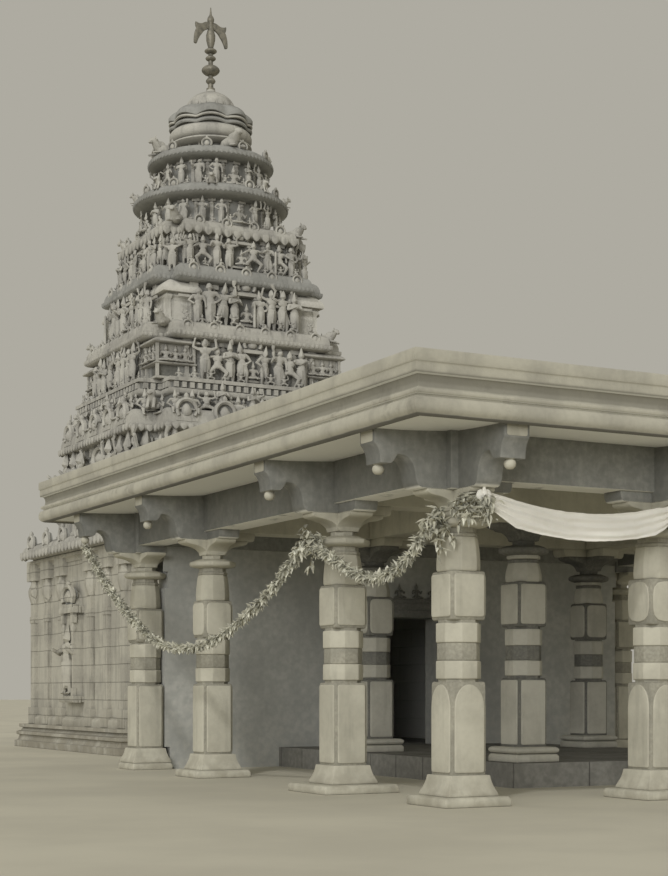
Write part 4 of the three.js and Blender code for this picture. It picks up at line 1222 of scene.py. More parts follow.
def first_storey():
    """The broad lowest storey, with the largest figures on pedestals all round."""
    bm = bmesh.new()
    wall, foot, top = 2.9, 5.4 + GAP, 7.65
    base = [(3.0, foot), (3.0, 5.5), (2.94, 5.53), (2.94, 5.6), (2.98, 5.63), (2.98, 5.72), (wall, 5.76)]
    course(bm, NOTCHED, base)
    course(bm, NOTCHED, [(wall - 0.02, 5.7), (wall - 0.02, top + 0.02)], DARK)
    cornice(bm, NOTCHED, wall, wall_top=7.64, edge=3.24, lip=7.72, top=8.2, back=2.9)
    for place in along_edge(wall, 0.62, 5.72):
        put(bm, PILASTER, place @ grown(1.5, 1.7, 1.93))
    spot = wall * 0.8 + 0.1
    for degrees in SIDES:
        side = turn_z(degrees)
        put(bm, NICHE, side @ moved(0, -wall - 0.02, 5.72) @ grown(1.9, 1.7, 1.9))
        add_figure(bm, "seated", side @ moved(0, -wall - 0.1, 5.85), 1.3)
        put(bm, SHRINE, side @ moved(spot, spot, foot) @ Matrix.Scale(2.2, 4))
    plinths = list(along_edge(3.14, 0.55, 5.93))
    pedestal = [(0.21, -0.52), (0.21, -0.42), (0.17, -0.38), (0.155, -0.12), (0.2, -0.06), (0.21, -0.04)]
    pedestal += [(0.2, 0.01)]
    for place in plinths:
        course(bm, SQUARE, pedestal, place=place)
    add_crowd(bm, plinths, 1.75, STANDING, gap=0.6)
    hang_petals(bm, along_edge(3.24, 0.2, 7.79), width=0.2, length=0.16)
    for place in along_edge(3.1, 1.0, 7.86, notches=False):
        put(bm, ARCH, place @ grown(0.62, 0.7, 0.62))
    add_crowd(bm, along_edge(3.02, 0.42, 8.02), 0.86, ["seated", "at_rest", "dwarf", "seated", "greeting"])
    add_crowd(bm, along_edge(2.84, 0.36, 8.22, notches=False), 0.6, ["seated", "at_rest", "dwarf", "porter"])
    for degrees in SIDES:
        add_figure(bm, "lion", turn_z(degrees) @ moved(2.66, -2.66, 8.15) @ turn_z(45), 0.62)
    tower_piece("tower_first_storey", bm, "tower_storey_1")


def string_course():
    """Two plain bands with a row of dentils between the first storeys."""
    bm = bmesh.new()
    course(bm, NOTCHED, [(2.75, 8.26 + GAP), (2.75, 8.54)], DARK)
    course(bm, NOTCHED, [(2.76, 8.53), (2.85, 8.57), (2.87, 8.60), (2.87, 8.67), (2.85, 8.69), (2.76, 8.70)])
    course(bm, NOTCHED, [(2.77, 8.69), (2.77, 8.86)], DARK)
    course(bm, NOTCHED, [(2.78, 8.85), (2.87, 8.86), (2.87, 8.94), (2.86, 8.95)])
    for place in along_edge(2.77, 0.2, 8.705):
        block(bm, (-0.055, -0.095, 0), (0.055, 0.03, 0.135), place=place)
    tower_piece("tower_string_course_dentils", bm, "tower_string_course")


def corner_building(bm, number, corner, height):
    """A kiosk with three sitters on each outer ledge, a pale pavilion, or a shrine."""
    if number == 2:
        put(bm, KIOSK, corner @ Matrix.Scale(height, 4))
        for turn in (RIGHT, BACK):
            for step in (-0.25, 0, 0.25):
                seat = moved(step * height, -0.47 * height, 0.4 * height)
                add_figure(bm, "seated", corner @ turn_z(turn) @ seat, height * 0.68)
    elif number == 3:
        put(bm, HUT, corner @ Matrix.Scale(height * 1.2, 4), OTHER)
    else:
        put(bm, SHRINE, corner @ Matrix.Scale(height * 1.14, 4))


def square_storey(number, wall, foot, wall_top, edge, lip, top, back, dark=False, petal=0.12):
    """One of the square storeys: niche, corner shrines, pilasters and a crowd of figures."""
    bm = bmesh.new()
    foot += GAP
    height = wall_top - foot
    base = [(wall + 0.09, foot), (wall + 0.09, foot + 0.05), (wall + 0.06, foot + 0.08), (wall, foot + 0.1)]
    course(bm, NOTCHED, base)
    course(bm, NOTCHED, [(wall - 0.015, foot), (wall - 0.015, wall_top + 0.02)], DARK)
    cornice(bm, NOTCHED, wall, wall_top - 0.01, edge, lip, top, back, dark)
    hang_petals(bm, along_edge(edge - 0.01, petal, lip + 0.06), petal, petal * 0.8, dark)
    for place in along_edge(wall, 0.5, foot + 0.08, notches=False):
        put(bm, PILASTER, place @ grown(1.05, 1.2, height - 0.08))
    for degrees in SIDES:
        side = turn_z(degrees)
        put(bm, NICHE, side @ moved(0, -wall - 0.1, foot + 0.06) @ Matrix.Scale(height * 1.12, 4))
        add_figure(bm, "seated", side @ moved(0, -wall - 0.2, foot + 0.12), height * 0.72)
        spot = wall * 0.8 + 0.06
        corner_building(bm, number, side @ moved(spot, spot, foot), height)
        # A guest on the corner of the cornice
        reach, sink, guest, size = (0.78, 0.2, "porter", 0.95) if number == 3 else (0.84, 0.16, "bull", 0.58)
        corner_top = side @ moved(edge * reach, -edge * reach, top - sink) @ turn_z(45)
        add_figure(bm, guest, corner_top, size)
        if number == 4:
            for across, out, pose in ((0.93, 0.74, "porter"), (0.74, 0.93, "warrior")):
                place = side @ moved(edge * across, -edge * out, foot) @ turn_z(45)
                add_figure(bm, pose, place, height)
    stand = (wall + edge) / 2 + 0.09
    places = list(along_edge(stand, 0.33, foot - 0.02, notches=False))
    # The standing ones keep clear of the corner buildings.
    reach = {2: 1.4, 3: 1.5}.get(number, wall)
    places = [place for place in places if abs(side_place(place)) < reach]
    add_crowd(bm, places, height * 1.08, STANDING, gap=height * 0.3)
    places = along_edge(stand + 0.1, 0.4, foot - 0.04, notches=False)
    add_crowd(bm, places, height * 0.42, ["dwarf", "at_rest", "seated"], gap=height * 0.3)
    if number == 3:
        # A rail in front of the row
        low, high = foot + height * 0.6, foot + height * 0.66
        for degrees in SIDES:
            for start, end in ((-0.8 * stand, -0.3), (0.3, 0.8 * stand)):
                near, far = (start, 0.02 - stand, low), (end, 0.07 - stand, high)
                block(bm, near, far, place=turn_z(degrees))
    for place in along_edge(edge - 0.12, 0.72, lip + 0.1, notches=False):
        put(bm, ARCH, place @ grown(0.3, 0.34, 0.3))
    # The third material: dark stone in the second storey's kiosk recesses, as painted shade of the deep
    # recess, and pale stucco for the other storeys.
    looks = [STUCCO, DARK_STUCCO, DARK_STONE if number == 2 else PALE_STUCCO]
    tower_piece(f"tower_storey_{number}_figures", bm, f"tower_storey_{number}", looks)


def round_storey(number, wall, foot, wall_top, edge, lip, top, back, count):
    """One of the round storeys, with count pilasters and as many standing figures."""
    bm = bmesh.new()
    foot += GAP
    ring = polygon(48)
    course(bm, ring, [(wall + 0.07, foot), (wall + 0.07, foot + 0.06), (wall, foot + 0.1)])
    course(bm, ring, [(wall - 0.01, foot), (wall - 0.01, wall_top + 0.02)], DARK)
    cornice(bm, ring, wall, wall_top, edge, lip, top, back, dark=True)
    height = wall_top - foot
    for place in around(wall, count, foot + 0.06, start=0.5):
        put(bm, PILASTER, place @ grown(0.9, 1.0, height - 0.04))
    hang_petals(bm, around(edge - 0.01, round(edge * 50), lip + 0.06), width=0.126, length=0.1, dark=True)
    stand = (wall + edge) / 2 + 0.04
    for step, place in enumerate(around(stand, count, foot - 0.02)):
        pose = "seated" if step % (count // 4) == 0 else dice.choice(STANDING)
        add_figure(bm, pose, place, height * (1.2 if pose == "seated" else 1.1))
    places = around(stand + 0.1, count, foot - 0.04, start=0.5)
    add_crowd(bm, places, height * 0.5, ["dwarf", "at_rest", "seated"])
    for place in around(edge - 0.12, count // 2, lip + 0.1, start=0.25):
        put(bm, ARCH, place @ grown(0.3, 0.3, 0.28))
    if number == 6:
        for place in around(edge - 0.26, 4, top - 0.12):
            add_figure(bm, "bull", place, 0.72)
    else:
        for step, place in enumerate(around(edge - 0.14, 8, top - 0.16, start=0.5)):
            add_figure(bm, "bull" if step % 2 else "lion", place, 0.44)
    tower_piece(f"tower_storey_{number}_figures", bm, f"tower_storey_{number}")


LOBES = 8  # of the dome


def scalloped(bm, profile, swing, material=0):
    """A round moulding whose rim swings in and down between its lobes."""
    part = bmesh.new()
    moulded(part, polygon(120), profile)
    for vert in part.verts:
        share = max(0.0, vert.co.xy.length - 0.6) / 0.48
        dip = 1 - abs(math.sin(math.atan2(vert.co.y, vert.co.x) * LOBES / 2))
        vert.co.xy *= 1 - swing * share * dip
        vert.co.z -= swing * share * dip
    put(bm, shape(part), None, material)


def add_dome():
    """The neck, and on it the lotus dome: two thin scalloped courses, a thick one and a cap."""
    bm = bmesh.new()
    ring = polygon(48)
    course(bm, ring, [(0.86, 15.2 + GAP), (0.86, 15.25), (0.73, 15.29)])
    course(bm, ring, [(0.72, 15.28), (0.72, 15.43)], DARK)
    course(bm, ring, [(0.74, 15.41), (1.0, 15.44), (1.06, 15.48), (1.055, 15.51), (1.0, 15.52)])
    for place in around(0.76, 16, 15.26):
        put(bm, PILASTER, place @ grown(0.5, 0.8, 0.19))
    tower_piece("tower_neck_band", bm, "tower_neck")

    bm = bmesh.new()
    band = [(0.94, 15.52 + GAP), (0.95, 15.56), (1.03, 15.60), (1.06, 15.66), (1.06, 15.74)]
    course(bm, ring, [*band, *bend((1.06, 15.74), (1.04, 15.86), (0.90, 15.90))])
    course(bm, ring, [(0.93, 15.80), (0.93, 16.16)], DARK)
    lower = [(0.9, 15.93), (1.05, 15.90), (1.075, 15.93), (1.07, 15.97), (0.98, 16.02), (0.9, 16.03)]
    scalloped(bm, lower, swing=0.05, material=DARK)
    upper = [(0.9, 16.08), (1.05, 16.04), (1.08, 16.06), (1.07, 16.10), (0.98, 16.13), (0.9, 16.14)]
    scalloped(bm, upper, swing=0.06)
    rim = [(0.92, 16.16), (1.04, 16.13), (1.085, 16.15), (1.085, 16.23), (1.05, 16.28)]
    scalloped(bm, [*rim, *bend((1.05, 16.28), (0.92, 16.42), (0.62, 16.47), 6)], swing=0.09, material=DARK)
    cap = [(0.62, 16.46), (0.625, 16.53), (0.61, 16.59)]
    cap += bend((0.61, 16.59), (0.55, 16.76), (0.32, 16.87), 6)
    cap += [(0.19, 16.925), (0.125, 16.96), (0.12, 17.0)]
    course(bm, ring, cap)
    for place in around(0.63, 18, 16.46):
        put(bm, PETAL, place @ turn_x(-14) @ grown(0.19, 0.22, 0.15))
    tower_piece("tower_lotus_dome", bm, "tower_dome")


# Finial: four turned pots on a stem, and a crest of two drooping leaves


def add_finial():
    """The brass finial on the dome."""
    bm = bmesh.new()
    profile = [(0.11, 17.0 + GAP), (0.11, 17.05), (0.07, 17.07), (0.065, 17.175)]
    pots = ((17.245, 0.125, 0.07), (17.52, 0.235, 0.135), (17.83, 0.135, 0.06), (18.02, 0.16, 0.065))
    for middle, radius, rise in pots:
        profile += [(0.06, middle - rise), (0.075, middle - rise)]
        for step in range(-3, 4):
            lift = step / 4
            profile.append((0.06 + (radius - 0.06) * math.cos(lift * 1.25) ** 1.2, middle + lift * rise))
        profile += [(0.08, middle + rise), (0.06, middle + rise + 0.012)]
    profile.append((0.06, 18.1))
    course(bm, polygon(24), profile)
    tower_piece("finial_stacked_pots", bm, "finial_pots", [BRASS])

    bm = bmesh.new()
    body = [(0.065, 18.1 + GAP), (0.085, 18.18), (0.115, 18.3), (0.12, 18.42), (0.08, 18.56), (0.068, 18.62)]
    body += [(0.06, 18.74), (0.085, 18.79), (0.09, 18.84), (0.07, 18.9), (0.034, 18.95), (0.024, 19.0)]
    body += [(0.012, 19.15)]
    course(bm, polygon(16), body)
    leaf = bmesh.new()
    outline = [(0, 18.60), *bend((0, 18.60), (0.17, 18.58), (0.26, 18.42))]
    outline += bend((0.26, 18.42), (0.34, 18.33), (0.40, 18.15))
    outline += [(0.47, 18.17), *bend((0.47, 18.17), (0.48, 18.42), (0.40, 18.56))]
    outline += bend((0.40, 18.56), (0.44, 18.62), (0.43, 18.72), 4)
    outline += bend((0.43, 18.72), (0.30, 18.65), (0.18, 18.74))
    outline += bend((0.18, 18.74), (0.08, 18.79), (0, 18.74), 4)
    plate(leaf, outline, 0.07)
    soften(leaf, 0.016, 2, degrees=50)
    leaf = shape(leaf)
    put(bm, leaf)
    put(bm, leaf, turn_z(180))
    tower_piece("finial_leaf_crest", bm, "finial_crest", [BRASS])


def add_tower():
    """The tower over the sanctum's cornice, from below upwards."""
    first_storey()
    string_course()
    square_storey(2, wall=2.4, foot=8.95, wall_top=9.95, edge=2.69, lip=10.04, top=10.4, back=2.42)
    square_storey(
        3, wall=2.02, foot=10.4, wall_top=11.44, edge=2.31, lip=11.54, top=11.9, back=1.98, dark=True
    )
    square_storey(
        4, wall=1.72, foot=11.9, wall_top=12.74, edge=1.96, lip=12.82, top=13.1, back=1.66, petal=0.25
    )
    round_storey(
        5, wall=1.48, foot=13.1, wall_top=13.76, edge=1.99, lip=13.87, top=14.15, back=1.42, count=24
    )
    round_storey(
        6, wall=1.18, foot=14.15, wall_top=14.84, edge=1.61, lip=14.94, top=15.2, back=1.02, count=20
    )
    add_dome()
    add_finial()


# Walls behind the hall: mouldings, pilasters and niches laid on the plain masonry


def strip(bm, profile, length, place):
    """A straight moulding that faces -Y: its section in (out, height), its length along X."""
    part = bmesh.new()
    face = part.faces.new([part.verts.new((-length / 2, -out, z)) for out, z in profile])
    bmesh.ops.translate(part, vec=(length, 0, 0), verts=draw_out(part, face))
    put(bm, shape(part), place)


FOOT_MOULD = [(-0.02, 0), (0.11, 0), (0.11, 0.12), *bend((0.11, 0.12), (0.11, 0.2), (0.05, 0.21), 4)]
FOOT_MOULD += [(0.05, 0.25), (-0.02, 0.25)]
HEAD_MOULD = [(-0.02, 0), (0.03, 0), *bend((0.03, 0), (0.04, 0.1), (0.14, 0.12), 4)]
HEAD_MOULD += [(0.14, 0.2), (-0.02, 0.2)]
WALL_TOP = 4.92  # of the closed walls


def wall_niche(bm, place, pose):
    """A figure between two pilasters, on a sill, under a ledge and a horseshoe arch."""
    for x in (-0.36, 0.36):
        put(bm, PILASTER, place @ moved(x, -0.22, 0) @ grown(1.0, 0.9, 2.05))
    ledge = [(0.1, 0), (0.3, 0.0), *bend((0.3, 0), (0.32, 0.1), (0.27, 0.16), 3), (0.1, 0.16)]
    strip(bm, ledge, 1.1, place @ moved(0, 0, 2.05))
    sill = [(0.1, -0.16), (0.27, -0.16), (0.31, -0.1), (0.31, 0), (0.1, 0)]
    strip(bm, sill, 1.1, place)
    put(bm, ARCH, place @ moved(0, -0.2, 2.2) @ grown(0.95, 0.6, 0.62))
    add_figure(bm, pose, place @ moved(0, -0.25, 0.02), 1.75)


def sanctum_walls():
    """Pilasters, mouldings and a niche on each outer wall under the tower."""
    bm = bmesh.new()
    base = 0.6
    for degrees, pose in ((RIGHT, "blessing"), (BACK, "guardian"), (LEFT, "blessing")):
        face = moved(0, TOWER_Y, 0) @ turn_z(degrees) @ moved(0, -3.6, 0)
        for x in (-3.4, -2.25, -1.1, 1.1, 2.25, 3.4):
            place = face @ moved(x, 0, base + 0.02)
            put(bm, PILASTER, place @ grown(3.1, 2.2, WALL_TOP - base - 0.03))
        strip(bm, FOOT_MOULD, 7.4, face @ moved(0, 0, base))
        strip(bm, HEAD_MOULD, 7.4, face @ moved(0, 0, WALL_TOP - 0.2))
        wall_niche(bm, face @ moved(0, 0, 1.35), pose)
    piece("sanctum_wall_ornament", bm, [MASONRY, DARK_STUCCO])


def vestibule_walls():
    """The same, with a bench at the foot, on the walls between the hall and the sanctum."""
    bm = bmesh.new()
    start, end = -0.28, 5.64
    middle, length = (start + end) / 2, end - start
    bench = [(0, 0.45), (0.14, 0.45), (0.15, 0.5), (0.13, 0.54), (0.04, 0.56), (0, 0.56)]
    for degrees, side in ((RIGHT, 1), (LEFT, -1)):
        face = moved(side * 3.2, middle, 0) @ turn_z(degrees)
        for share in (-0.22, 0.12):
            place = face @ moved(side * share * length, 0, 0.45)
            put(bm, PILASTER, place @ grown(3.3, 2.0, WALL_TOP - 0.46))
        strip(bm, HEAD_MOULD, length, face @ moved(0, 0, WALL_TOP - 0.2))
        strip(bm, bench, length - 0.5, face @ moved(-side * 0.25, 0, 0))
        wall_niche(bm, face @ moved(-side * 0.05 * length, 0.1, 1.35), "guardian")
        # A block closes the wall's foot against the plinth.
        box(bm, (side * 2.95 - 0.256, 4.9, 0), (side * 2.95 + 0.256, 5.52, 0.62))
    piece("vestibule_wall_ornament", bm, [MASONRY, DARK_STUCCO])


CORNICE_REACH = 4.08  # of the main cornice, from the tower's axis


def vestibule_roof():
    """The roof with its rounded cornice, and the gutters beside it in the back eave."""
    half = [(3.2, 4.92), *bend((3.2, 4.92), (3.5, 4.93), (3.55, 5.0), 4), (3.55, 5.07)]
    half += [*bend((3.54, 5.08), (3.5, 5.19), (3.28, 5.22), 5), (3.26, 5.24), (3.26, 5.4)]
    half += [(3.33, 5.41), (3.34, 5.43), (3.34, 5.51), (3.325, 5.53)]
    start, end = HALL_Y + OUTER + GAP, TOWER_Y - CORNICE_REACH - GAP
    bm = bmesh.new()
    plate(bm, half + [(-x, z) for x, z in reversed(half)], end - start, (start + end) / 2)
    for side in (-1, 1):
        box(bm, (side * 3.445 - 0.105, start, 5.1), (side * 3.445 + 0.105, 1.05, 5.51))
    bmesh.ops.recalc_face_normals(bm, faces=bm.faces)
    piece("vestibule_roof_moulding", bm, [ROOF], ["vestibule_roof"])


def main_cornice():
    """The large cornice between the sanctum and its tower. No arch stands against the vestibule's roof."""
    bm = bmesh.new()
    course(bm, SQUARE, [(3.59, WALL_TOP), (3.59, 5.39)])
    cornice(bm, NOTCHED, wall=3.62, wall_top=4.93, edge=4.075, lip=5.04, top=5.4, back=3.2)
    hang_petals(bm, along_edge(4.06, 0.26, 5.1), width=0.26, length=0.2)
    for place in along_edge(3.96, 1.3, 5.1, notches=False):
        if place.translation.y > -3.9:
            put(bm, ARCH, place @ grown(0.5, 0.5, 0.5))
    tower_piece("tower_main_cornice_moulding", bm, "tower_main_cornice")


def door_frame():
    """A stone frame around the door in the hall's rear wall, with a row of small figures over it."""
    bm = bmesh.new()
    wall = moved(0, REAR_WALL, 0)
    for x, width, out in ((0.84, 0.16, 0.09), (1.0, 0.14, 0.06), (1.13, 0.1, 0.03)):
        for middle in (-x, x):
            high = (middle + width / 2, 0, x + 2.24)
            block(bm, (middle - width / 2, -out, 0.38), high, 0.01, place=wall)
    lintels = ((2.98, 0.15, 0.9, 0.09), (3.13, 0.14, 1.05, 0.06), (3.27, 0.1, 1.18, 0.03))
    for level, height, reach, out in lintels:
        block(bm, (-reach, -out, level), (reach, 0, level + height), 0.01, place=wall)
    for x in (-0.6, -0.2, 0.2, 0.6):
        add_figure(bm, "seated", wall @ moved(x, -0.05, 3.36), 0.5)
    piece("rear_wall_door_frame", bm, [DARK_STONE])


# Cloths and garlands

CLOTH_Y = HALL_Y - OUTER - 0.615
CLOTH_WIDTH = 0.42  # the cut width of a strip
CLOTH_END = 4.06  # height of its ends


def cloth_strip(name, x0, x1, sag, replaces):
    """A strip of cotton gathered at both ends, hung in a curve between two struts."""
    bm = bmesh.new()
    bmesh.ops.create_grid(bm, x_segments=96, y_segments=24, size=0.5)
    uv_layer = bm.loops.layers.uv.new("cloth")
    for face in bm.faces:
        for loop in face.loops:
            loop[uv_layer].uv = ((loop.vert.co.x + 0.5) * (x1 - x0), (loop.vert.co.y + 0.5) * CLOTH_WIDTH)
    seed = Vector((x0, sag, 0))
    for vert in bm.verts:
        along, across = vert.co.x + 0.5, vert.co.y + 0.5
        gather = 1 - min(1.0, 7 * min(along, 1 - along)) ** 0.7
        height = CLOTH_WIDTH * (0.86 - 0.62 * gather)
        top = CLOTH_END - 0.03 * gather - 4 * sag * along * (1 - along)
        fold = 0.014 + 0.03 * gather
        wave = math.sin(across * 2 * math.pi * 3.5 + 1.2 * noise.noise(Vector((along * 6, 0, 0)) + seed))
        billow = 0.05 * noise.noise(Vector((along * 5, across * 1.5, 3)) + seed)
        hem = 0.008 * noise.noise(Vector((along * 30, 0, 1)) + seed)
        x = x0 + (x1 - x0) * along
        y = CLOTH_Y + fold * wave + billow * (1 - gather)
        vert.co = (x, y, top - height * (1 - across) + hem)
    made = piece(name, bm, [COTTON], replaces, smooth=180)
    thick = made.modifiers.new("cloth", "SOLIDIFY")
    thick.thickness = 0.004
    thick.offset = 0
    return made


def leaf_form(length, width, droop):
    """A long leaf, folded along its rib and bent down, hanging from its stalk at the origin."""
    bm = bmesh.new()
    outline = [(0.006, 0), (width / 2, -0.3), (width * 0.42, -0.62), (0.004, -1)]
    outline += [(-width * 0.42, -0.62), (-width / 2, -0.3)]
    face = bm.faces.new([bm.verts.new((x, 0, z * length)) for x, z in outline])
    bmesh.ops.translate(bm, vec=(0, 0.003, 0), verts=draw_out(bm, face))
    whole = bm.verts[:] + bm.edges[:] + bm.faces[:]
    bmesh.ops.bisect_plane(bm, geom=whole, plane_co=(0, 0, 0), plane_no=(1, 0, 0))
    for vert in bm.verts:
        vert.co.y += abs(vert.co.x) * 0.5 - droop * (vert.co.z / length) ** 2 * length
    return shape(bm)


def add_knot(name, x):
    """The tie at a strut: bunched cloth, a turned band, and a spray of leaves hung over it."""
    bm = bmesh.new()
    for x_off, width in ((-0.04, 0.06), (0.04, 0.06), (0, 0.05)):
        lobe = bmesh.new()
        bmesh.ops.create_icosphere(lobe, subdivisions=3, radius=1)
        for vert in lobe.verts:
            crease = 1 + 0.16 * math.sin(math.atan2(vert.co.z, vert.co.y) * 7 + x_off * 40)
            vert.co = (vert.co.x * width * 1.3 + x_off, vert.co.y * 0.04 * crease, vert.co.z * 0.07 * crease)
        put(bm, shape(lobe), moved(x, CLOTH_Y, CLOTH_END - 0.09))
    band = [(0.03, -0.05), (0.045, -0.04), (0.05, 0), (0.045, 0.04), (0.03, 0.05)]
    course(bm, polygon(16), band, 0, moved(x, CLOTH_Y, CLOTH_END - 0.07))
    limb(bm, (x, CLOTH_Y, CLOTH_END - 0.05), (x, CLOTH_Y, 4.078), 0.03, 0.02)
    for _ in range(110):
        hang = dice.random()
        spot = Vector((x + dice.gauss(0, 0.065), CLOTH_Y - 0.03 + dice.gauss(0, 0.035), 3.98 - 0.34 * hang))
        turned = turn_z(dice.uniform(0, 360)) @ turn_x(dice.triangular(0, 110, 35))
        size = dice.uniform(0.6, 1.0) * (1.1 - 0.5 * hang)
        place = Matrix.Translation(spot) @ turned @ Matrix.Scale(size, 4)
        put(bm, dice.choice(LEAF_FORMS), place, dice.choice((1, 2)))
    return piece(name, bm, [COTTON, LEAVES, DRY_LEAVES], smooth=60)


def add_spray(name, root, outward, spread):
    """Leafy twigs tucked in at one spot and fanned outward from it."""
    bm = bmesh.new()
    for _ in range(12):
        sideways = Vector((dice.uniform(-1, 1), dice.uniform(-1, 1), dice.uniform(-1, 1))) * spread
        way = (Vector(outward) + sideways).normalized() * dice.uniform(0.26, 0.42)
        spots = [Vector(root) + way * t + Vector((0, 0, -0.12 * t * t)) for t in (0, 0.3, 0.55, 0.8, 1)]
        for near, far in zip(spots, spots[1:]):
            limb(bm, near, far, 0.007, 0.006)
            for _ in range(4):
                tilt = dice.triangular(0, 150, 50)
                turned = turn_z(dice.uniform(0, 360)) @ turn_x(tilt)
                place = Matrix.Translation(near.lerp(far, dice.random())) @ turned
                leaf = dice.choice(LEAF_FORMS)
                size = dice.uniform(0.7, 1.0)
                put(bm, leaf, place @ Matrix.Scale(size, 4), dice.choice((1, 1, 2)))
    piece(name, bm, [ROPE, LEAVES, DRY_LEAVES], smooth=30)


def add_sprays():
    """The leafy ends of the ropes, at the corner's strut and at the first two pillars of the side."""
    side, front = -OUTER - 0.37, HALL_Y - OUTER
    add_spray("leaf_spray_strut", (-OUTER - 0.03, CLOTH_Y, 3.93), (-0.9, 0.1, -0.25), 0.5)
    add_spray("leaf_spray_corner", (side, front - 0.08, 3.71), (-0.5, -0.6, 0.1), 0.75)
    add_spray("leaf_spray_second", (side - 0.03, front + 3.245, 3.7), (-1, 0, 0.05), 0.85)


def add_cloths():
    """The three strips along the front, and the four ties that hold them."""
    lines = (-OUTER, -INNER, INNER, OUTER)
    ties = {x: add_knot(f"cloth_knot_{number}", x) for number, x in enumerate(lines, 1)}
    spans = {"left": (-OUTER, -INNER, 0.24), "centre": (-INNER, INNER, 0.33), "right": (INNER, OUTER, 0.24)}
    for name, (x0, x1, sag) in spans.items():
        made = cloth_strip(f"hung_cloth_{name}", x0 + 0.01, x1 - 0.01, sag, ["cloth_" + name])
        # The length of the curve that the strip hangs in
        curve = (x1 - x0) * (1 + 8 / 3 * (sag / (x1 - x0)) ** 2)
        struts, knots = ["front_beam_and_struts"], [ties[x0]]
        if name == "left":
            struts = ["left_beam_and_struts", *struts]
        if name == "right":
            knots = [*knots, ties[x1]]


# The ropes' routes: out from the pillar line, back from the front row, height
NEAR_ROPE = [
    (0.37, 0, 3.675), (0.44, 0.01, 3.664), (0.50, 0.12, 3.48), (0.52, 0.40, 3.25), (0.52, 0.80, 3.08),
    (0.52, 1.20, 3.02), (0.52, 1.60, 3.06), (0.52, 2.00, 3.17), (0.52, 2.40, 3.32), (0.52, 2.80, 3.49),
    (0.505, 3.07, 3.60), (0.44, 3.19, 3.668), (0.37, 3.20, 3.675),
]
FAR_ROPE = [
    (0.37, 3.29, 3.675), (0.44, 3.30, 3.668), (0.505, 3.42, 3.60), (0.56, 3.90, 3.32), (0.62, 4.60, 2.92),
    (0.69, 5.40, 2.56), (0.76, 6.20, 2.31), (0.82, 7.00, 2.20), (0.88, 7.80, 2.24), (0.94, 8.50, 2.42),
    (1.00, 9.20, 2.74), (1.06, 9.90, 3.15), (1.12, 10.50, 3.59), (1.17, 10.95, 3.98), (1.197, 11.17, 4.15),
    (1.20, 11.20, 4.19), (1.20, 11.20, 4.2297),
]


def smooth_route(points):
    """Points close together on one smooth curve through the given ones."""
    steps = 8
    points = [Vector((-OUTER - out, HALL_Y - OUTER + back, z)) for out, back, z in points]
    ends = [2 * points[0] - points[1], *points, 2 * points[-1] - points[-2]]
    route = []
    for a, b, c, d in zip(ends, ends[1:], ends[2:], ends[3:]):
        before, here, after = (math.sqrt((q - p).length) for p, q in ((a, b), (b, c), (c, d)))
        leave = ((b - a) / before - (c - a) / (before + here) + (c - b) / here) * here
        arrive = ((c - b) / here - (d - b) / (here + after) + (d - c) / after) * here
        for step in range(steps):
            t = step / steps
            turn = t * t * (3 - 2 * t)
            route.append(b.lerp(c, turn) + leave * t * (1 - t) ** 2 - arrive * t * t * (1 - t))
    return route + [points[-1]]


def route_length(route):
    """The length of a route."""
    return sum((b - a).length for a, b in zip(route, route[1:]))


def add_garland(name, points):
    """A rope with bunches of long leaves all along it."""
    route = smooth_route(points)
    line = bpy.data.curves.new(name + "_twine", "CURVE")
    line.dimensions = "3D"
    line.bevel_depth = 0.016
    line.bevel_resolution = 2
    line.use_fill_caps = True
    strand = line.splines.new("POLY")
    strand.points.add(len(route) - 1)
    for spot, place in zip(strand.points, route):
        spot.co = (*place, 1)
    line.materials.append(ROPE)
    rope = add_object(name + "_twine", line)
    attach(rope, "root")
    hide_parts(name)

    bm = bmesh.new()
    length = route_length(route)
    whole = 0.0
    for near, far in zip(route, route[1:]):
        span = (far - near).length
        for _ in range(int((whole + span) * 300) - int(whole * 300)):
            end_room = min(1.0, (whole + 0.2) / 0.35, (length - whole + 0.2) / 0.35)
            aside = Vector((dice.uniform(-1, 1), dice.uniform(-1, 1), dice.uniform(-1, 0.8)))
            offset = aside * 0.032 * end_room
            tilt = dice.triangular(5, 175, 75)
            turned = turn_z(dice.uniform(0, 360)) @ turn_x(tilt)
            lump = 0.98 + 0.3 * noise.noise(Vector((whole * 3.1, length, 0)))
            leaf = dice.choice(LEAF_FORMS)
            # No leaf's tip is farther from the rope than this.
            room = (0.146 - offset.length) / max(vert.co.length for vert in leaf.vertices)
            size = room * min(1.0, lump * dice.uniform(0.8, 1.25)) * end_room
            place = Matrix.Translation(near.lerp(far, dice.random()) + offset)
            put(bm, leaf, place @ turned @ Matrix.Scale(size, 4), dice.choice((0, 0, 1)))
        whole += span
    bunches = piece(name.replace("rope", "leaves"), bm, [LEAVES, DRY_LEAVES], smooth=30)


def add_garlands():
    """The two garlands on the left side."""
    add_garland("garland_rope_near", NEAR_ROPE)
    add_garland("garland_rope_far", FAR_ROPE)


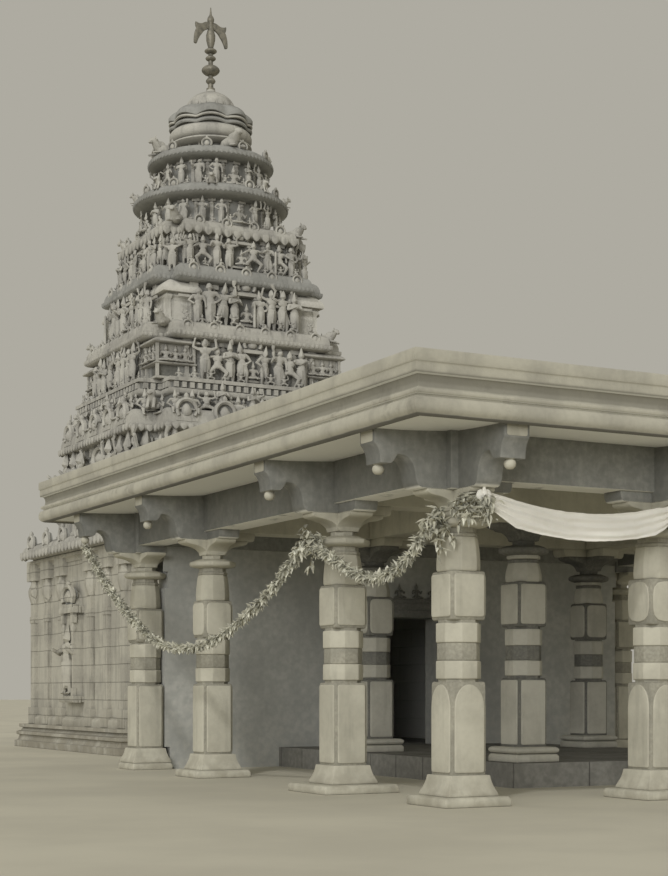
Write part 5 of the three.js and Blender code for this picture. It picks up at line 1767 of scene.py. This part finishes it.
def finish_stones():
    """The solids' own finishes, for the plain stones that no piece replaces."""
    looks = {
        "roof_slab": ROOF, "raised_floor": PAVING, "vestibule_floor": PAVING,
        "rear_wall_left": SOOT_AND_SHADE_WALL, "rear_wall_right": SOOT_AND_SHADE_WALL, "rear_wall_lintel": SOOT_AND_SHADE_WALL,
    }
    families = {"vestibule": MASONRY, "sanctum": MASONRY, "tower": STUCCO, "finial": BRASS}
    for name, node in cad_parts.items():
        family = families.get(name.split("_")[0], WHITEWASH)
        node.data.materials.clear()
        node.data.materials.append(looks.get(name, family))


def add_sun(name, towards, energy, spread, colour):
    """Light from far off, from a direction, with the spread of its source in degrees."""
    lamp = bpy.data.lights.new(name, "SUN")
    lamp.energy = energy
    lamp.angle = math.radians(spread)
    lamp.color = colour
    add_object(name, lamp).rotation_euler = Vector(towards).to_track_quat("Z", "Y").to_euler()


def add_light():
    """Soft light from the front left, and a plain floor to catch the shadows."""
    scene = bpy.context.scene
    scene.view_settings.view_transform = "Standard"
    world = bpy.data.worlds.new("studio")
    scene.world = world
    world.use_nodes = True
    sky = world.node_tree.nodes["Background"]
    sky.inputs["Color"].default_value = shade(174, 171, 161)
    sky.inputs["Strength"].default_value = 1.0
    add_sun("sun", (-0.515, -0.523, 0.677), energy=0.7, spread=4, colour=(1, 0.985, 0.95))
    add_sun("fill", (-0.68, -0.71, 0.19), energy=1.35, spread=30, colour=(1, 0.995, 0.98))
    bm = bmesh.new()
    bmesh.ops.create_grid(bm, x_segments=1, y_segments=1, size=220)
    mesh = shape(bm, "floor")
    mesh.materials.append(make_ground())
    floor = add_object("floor", mesh)


add_camera()
finish_stones()
add_pillars()
add_beams()
add_eaves()
ARCH = arch_form()
PETAL = petal_form()
PILASTER = pilaster_form()
SHRINE = shrine_form()
HUT = hut_form()
NICHE = niche_form()
KIOSK = kiosk_form()
LEAF_FORMS = [
    leaf_form(length=0.15, width=0.06, droop=0.25),
    leaf_form(length=0.17, width=0.05, droop=0.4),
    leaf_form(length=0.13, width=0.065, droop=0.1),
]
FIGURES = make_figures()
add_tower()
vestibule_roof()
main_cornice()
sanctum_walls()
vestibule_walls()
door_frame()
add_cloths()
add_garlands()
add_sprays()
add_light()
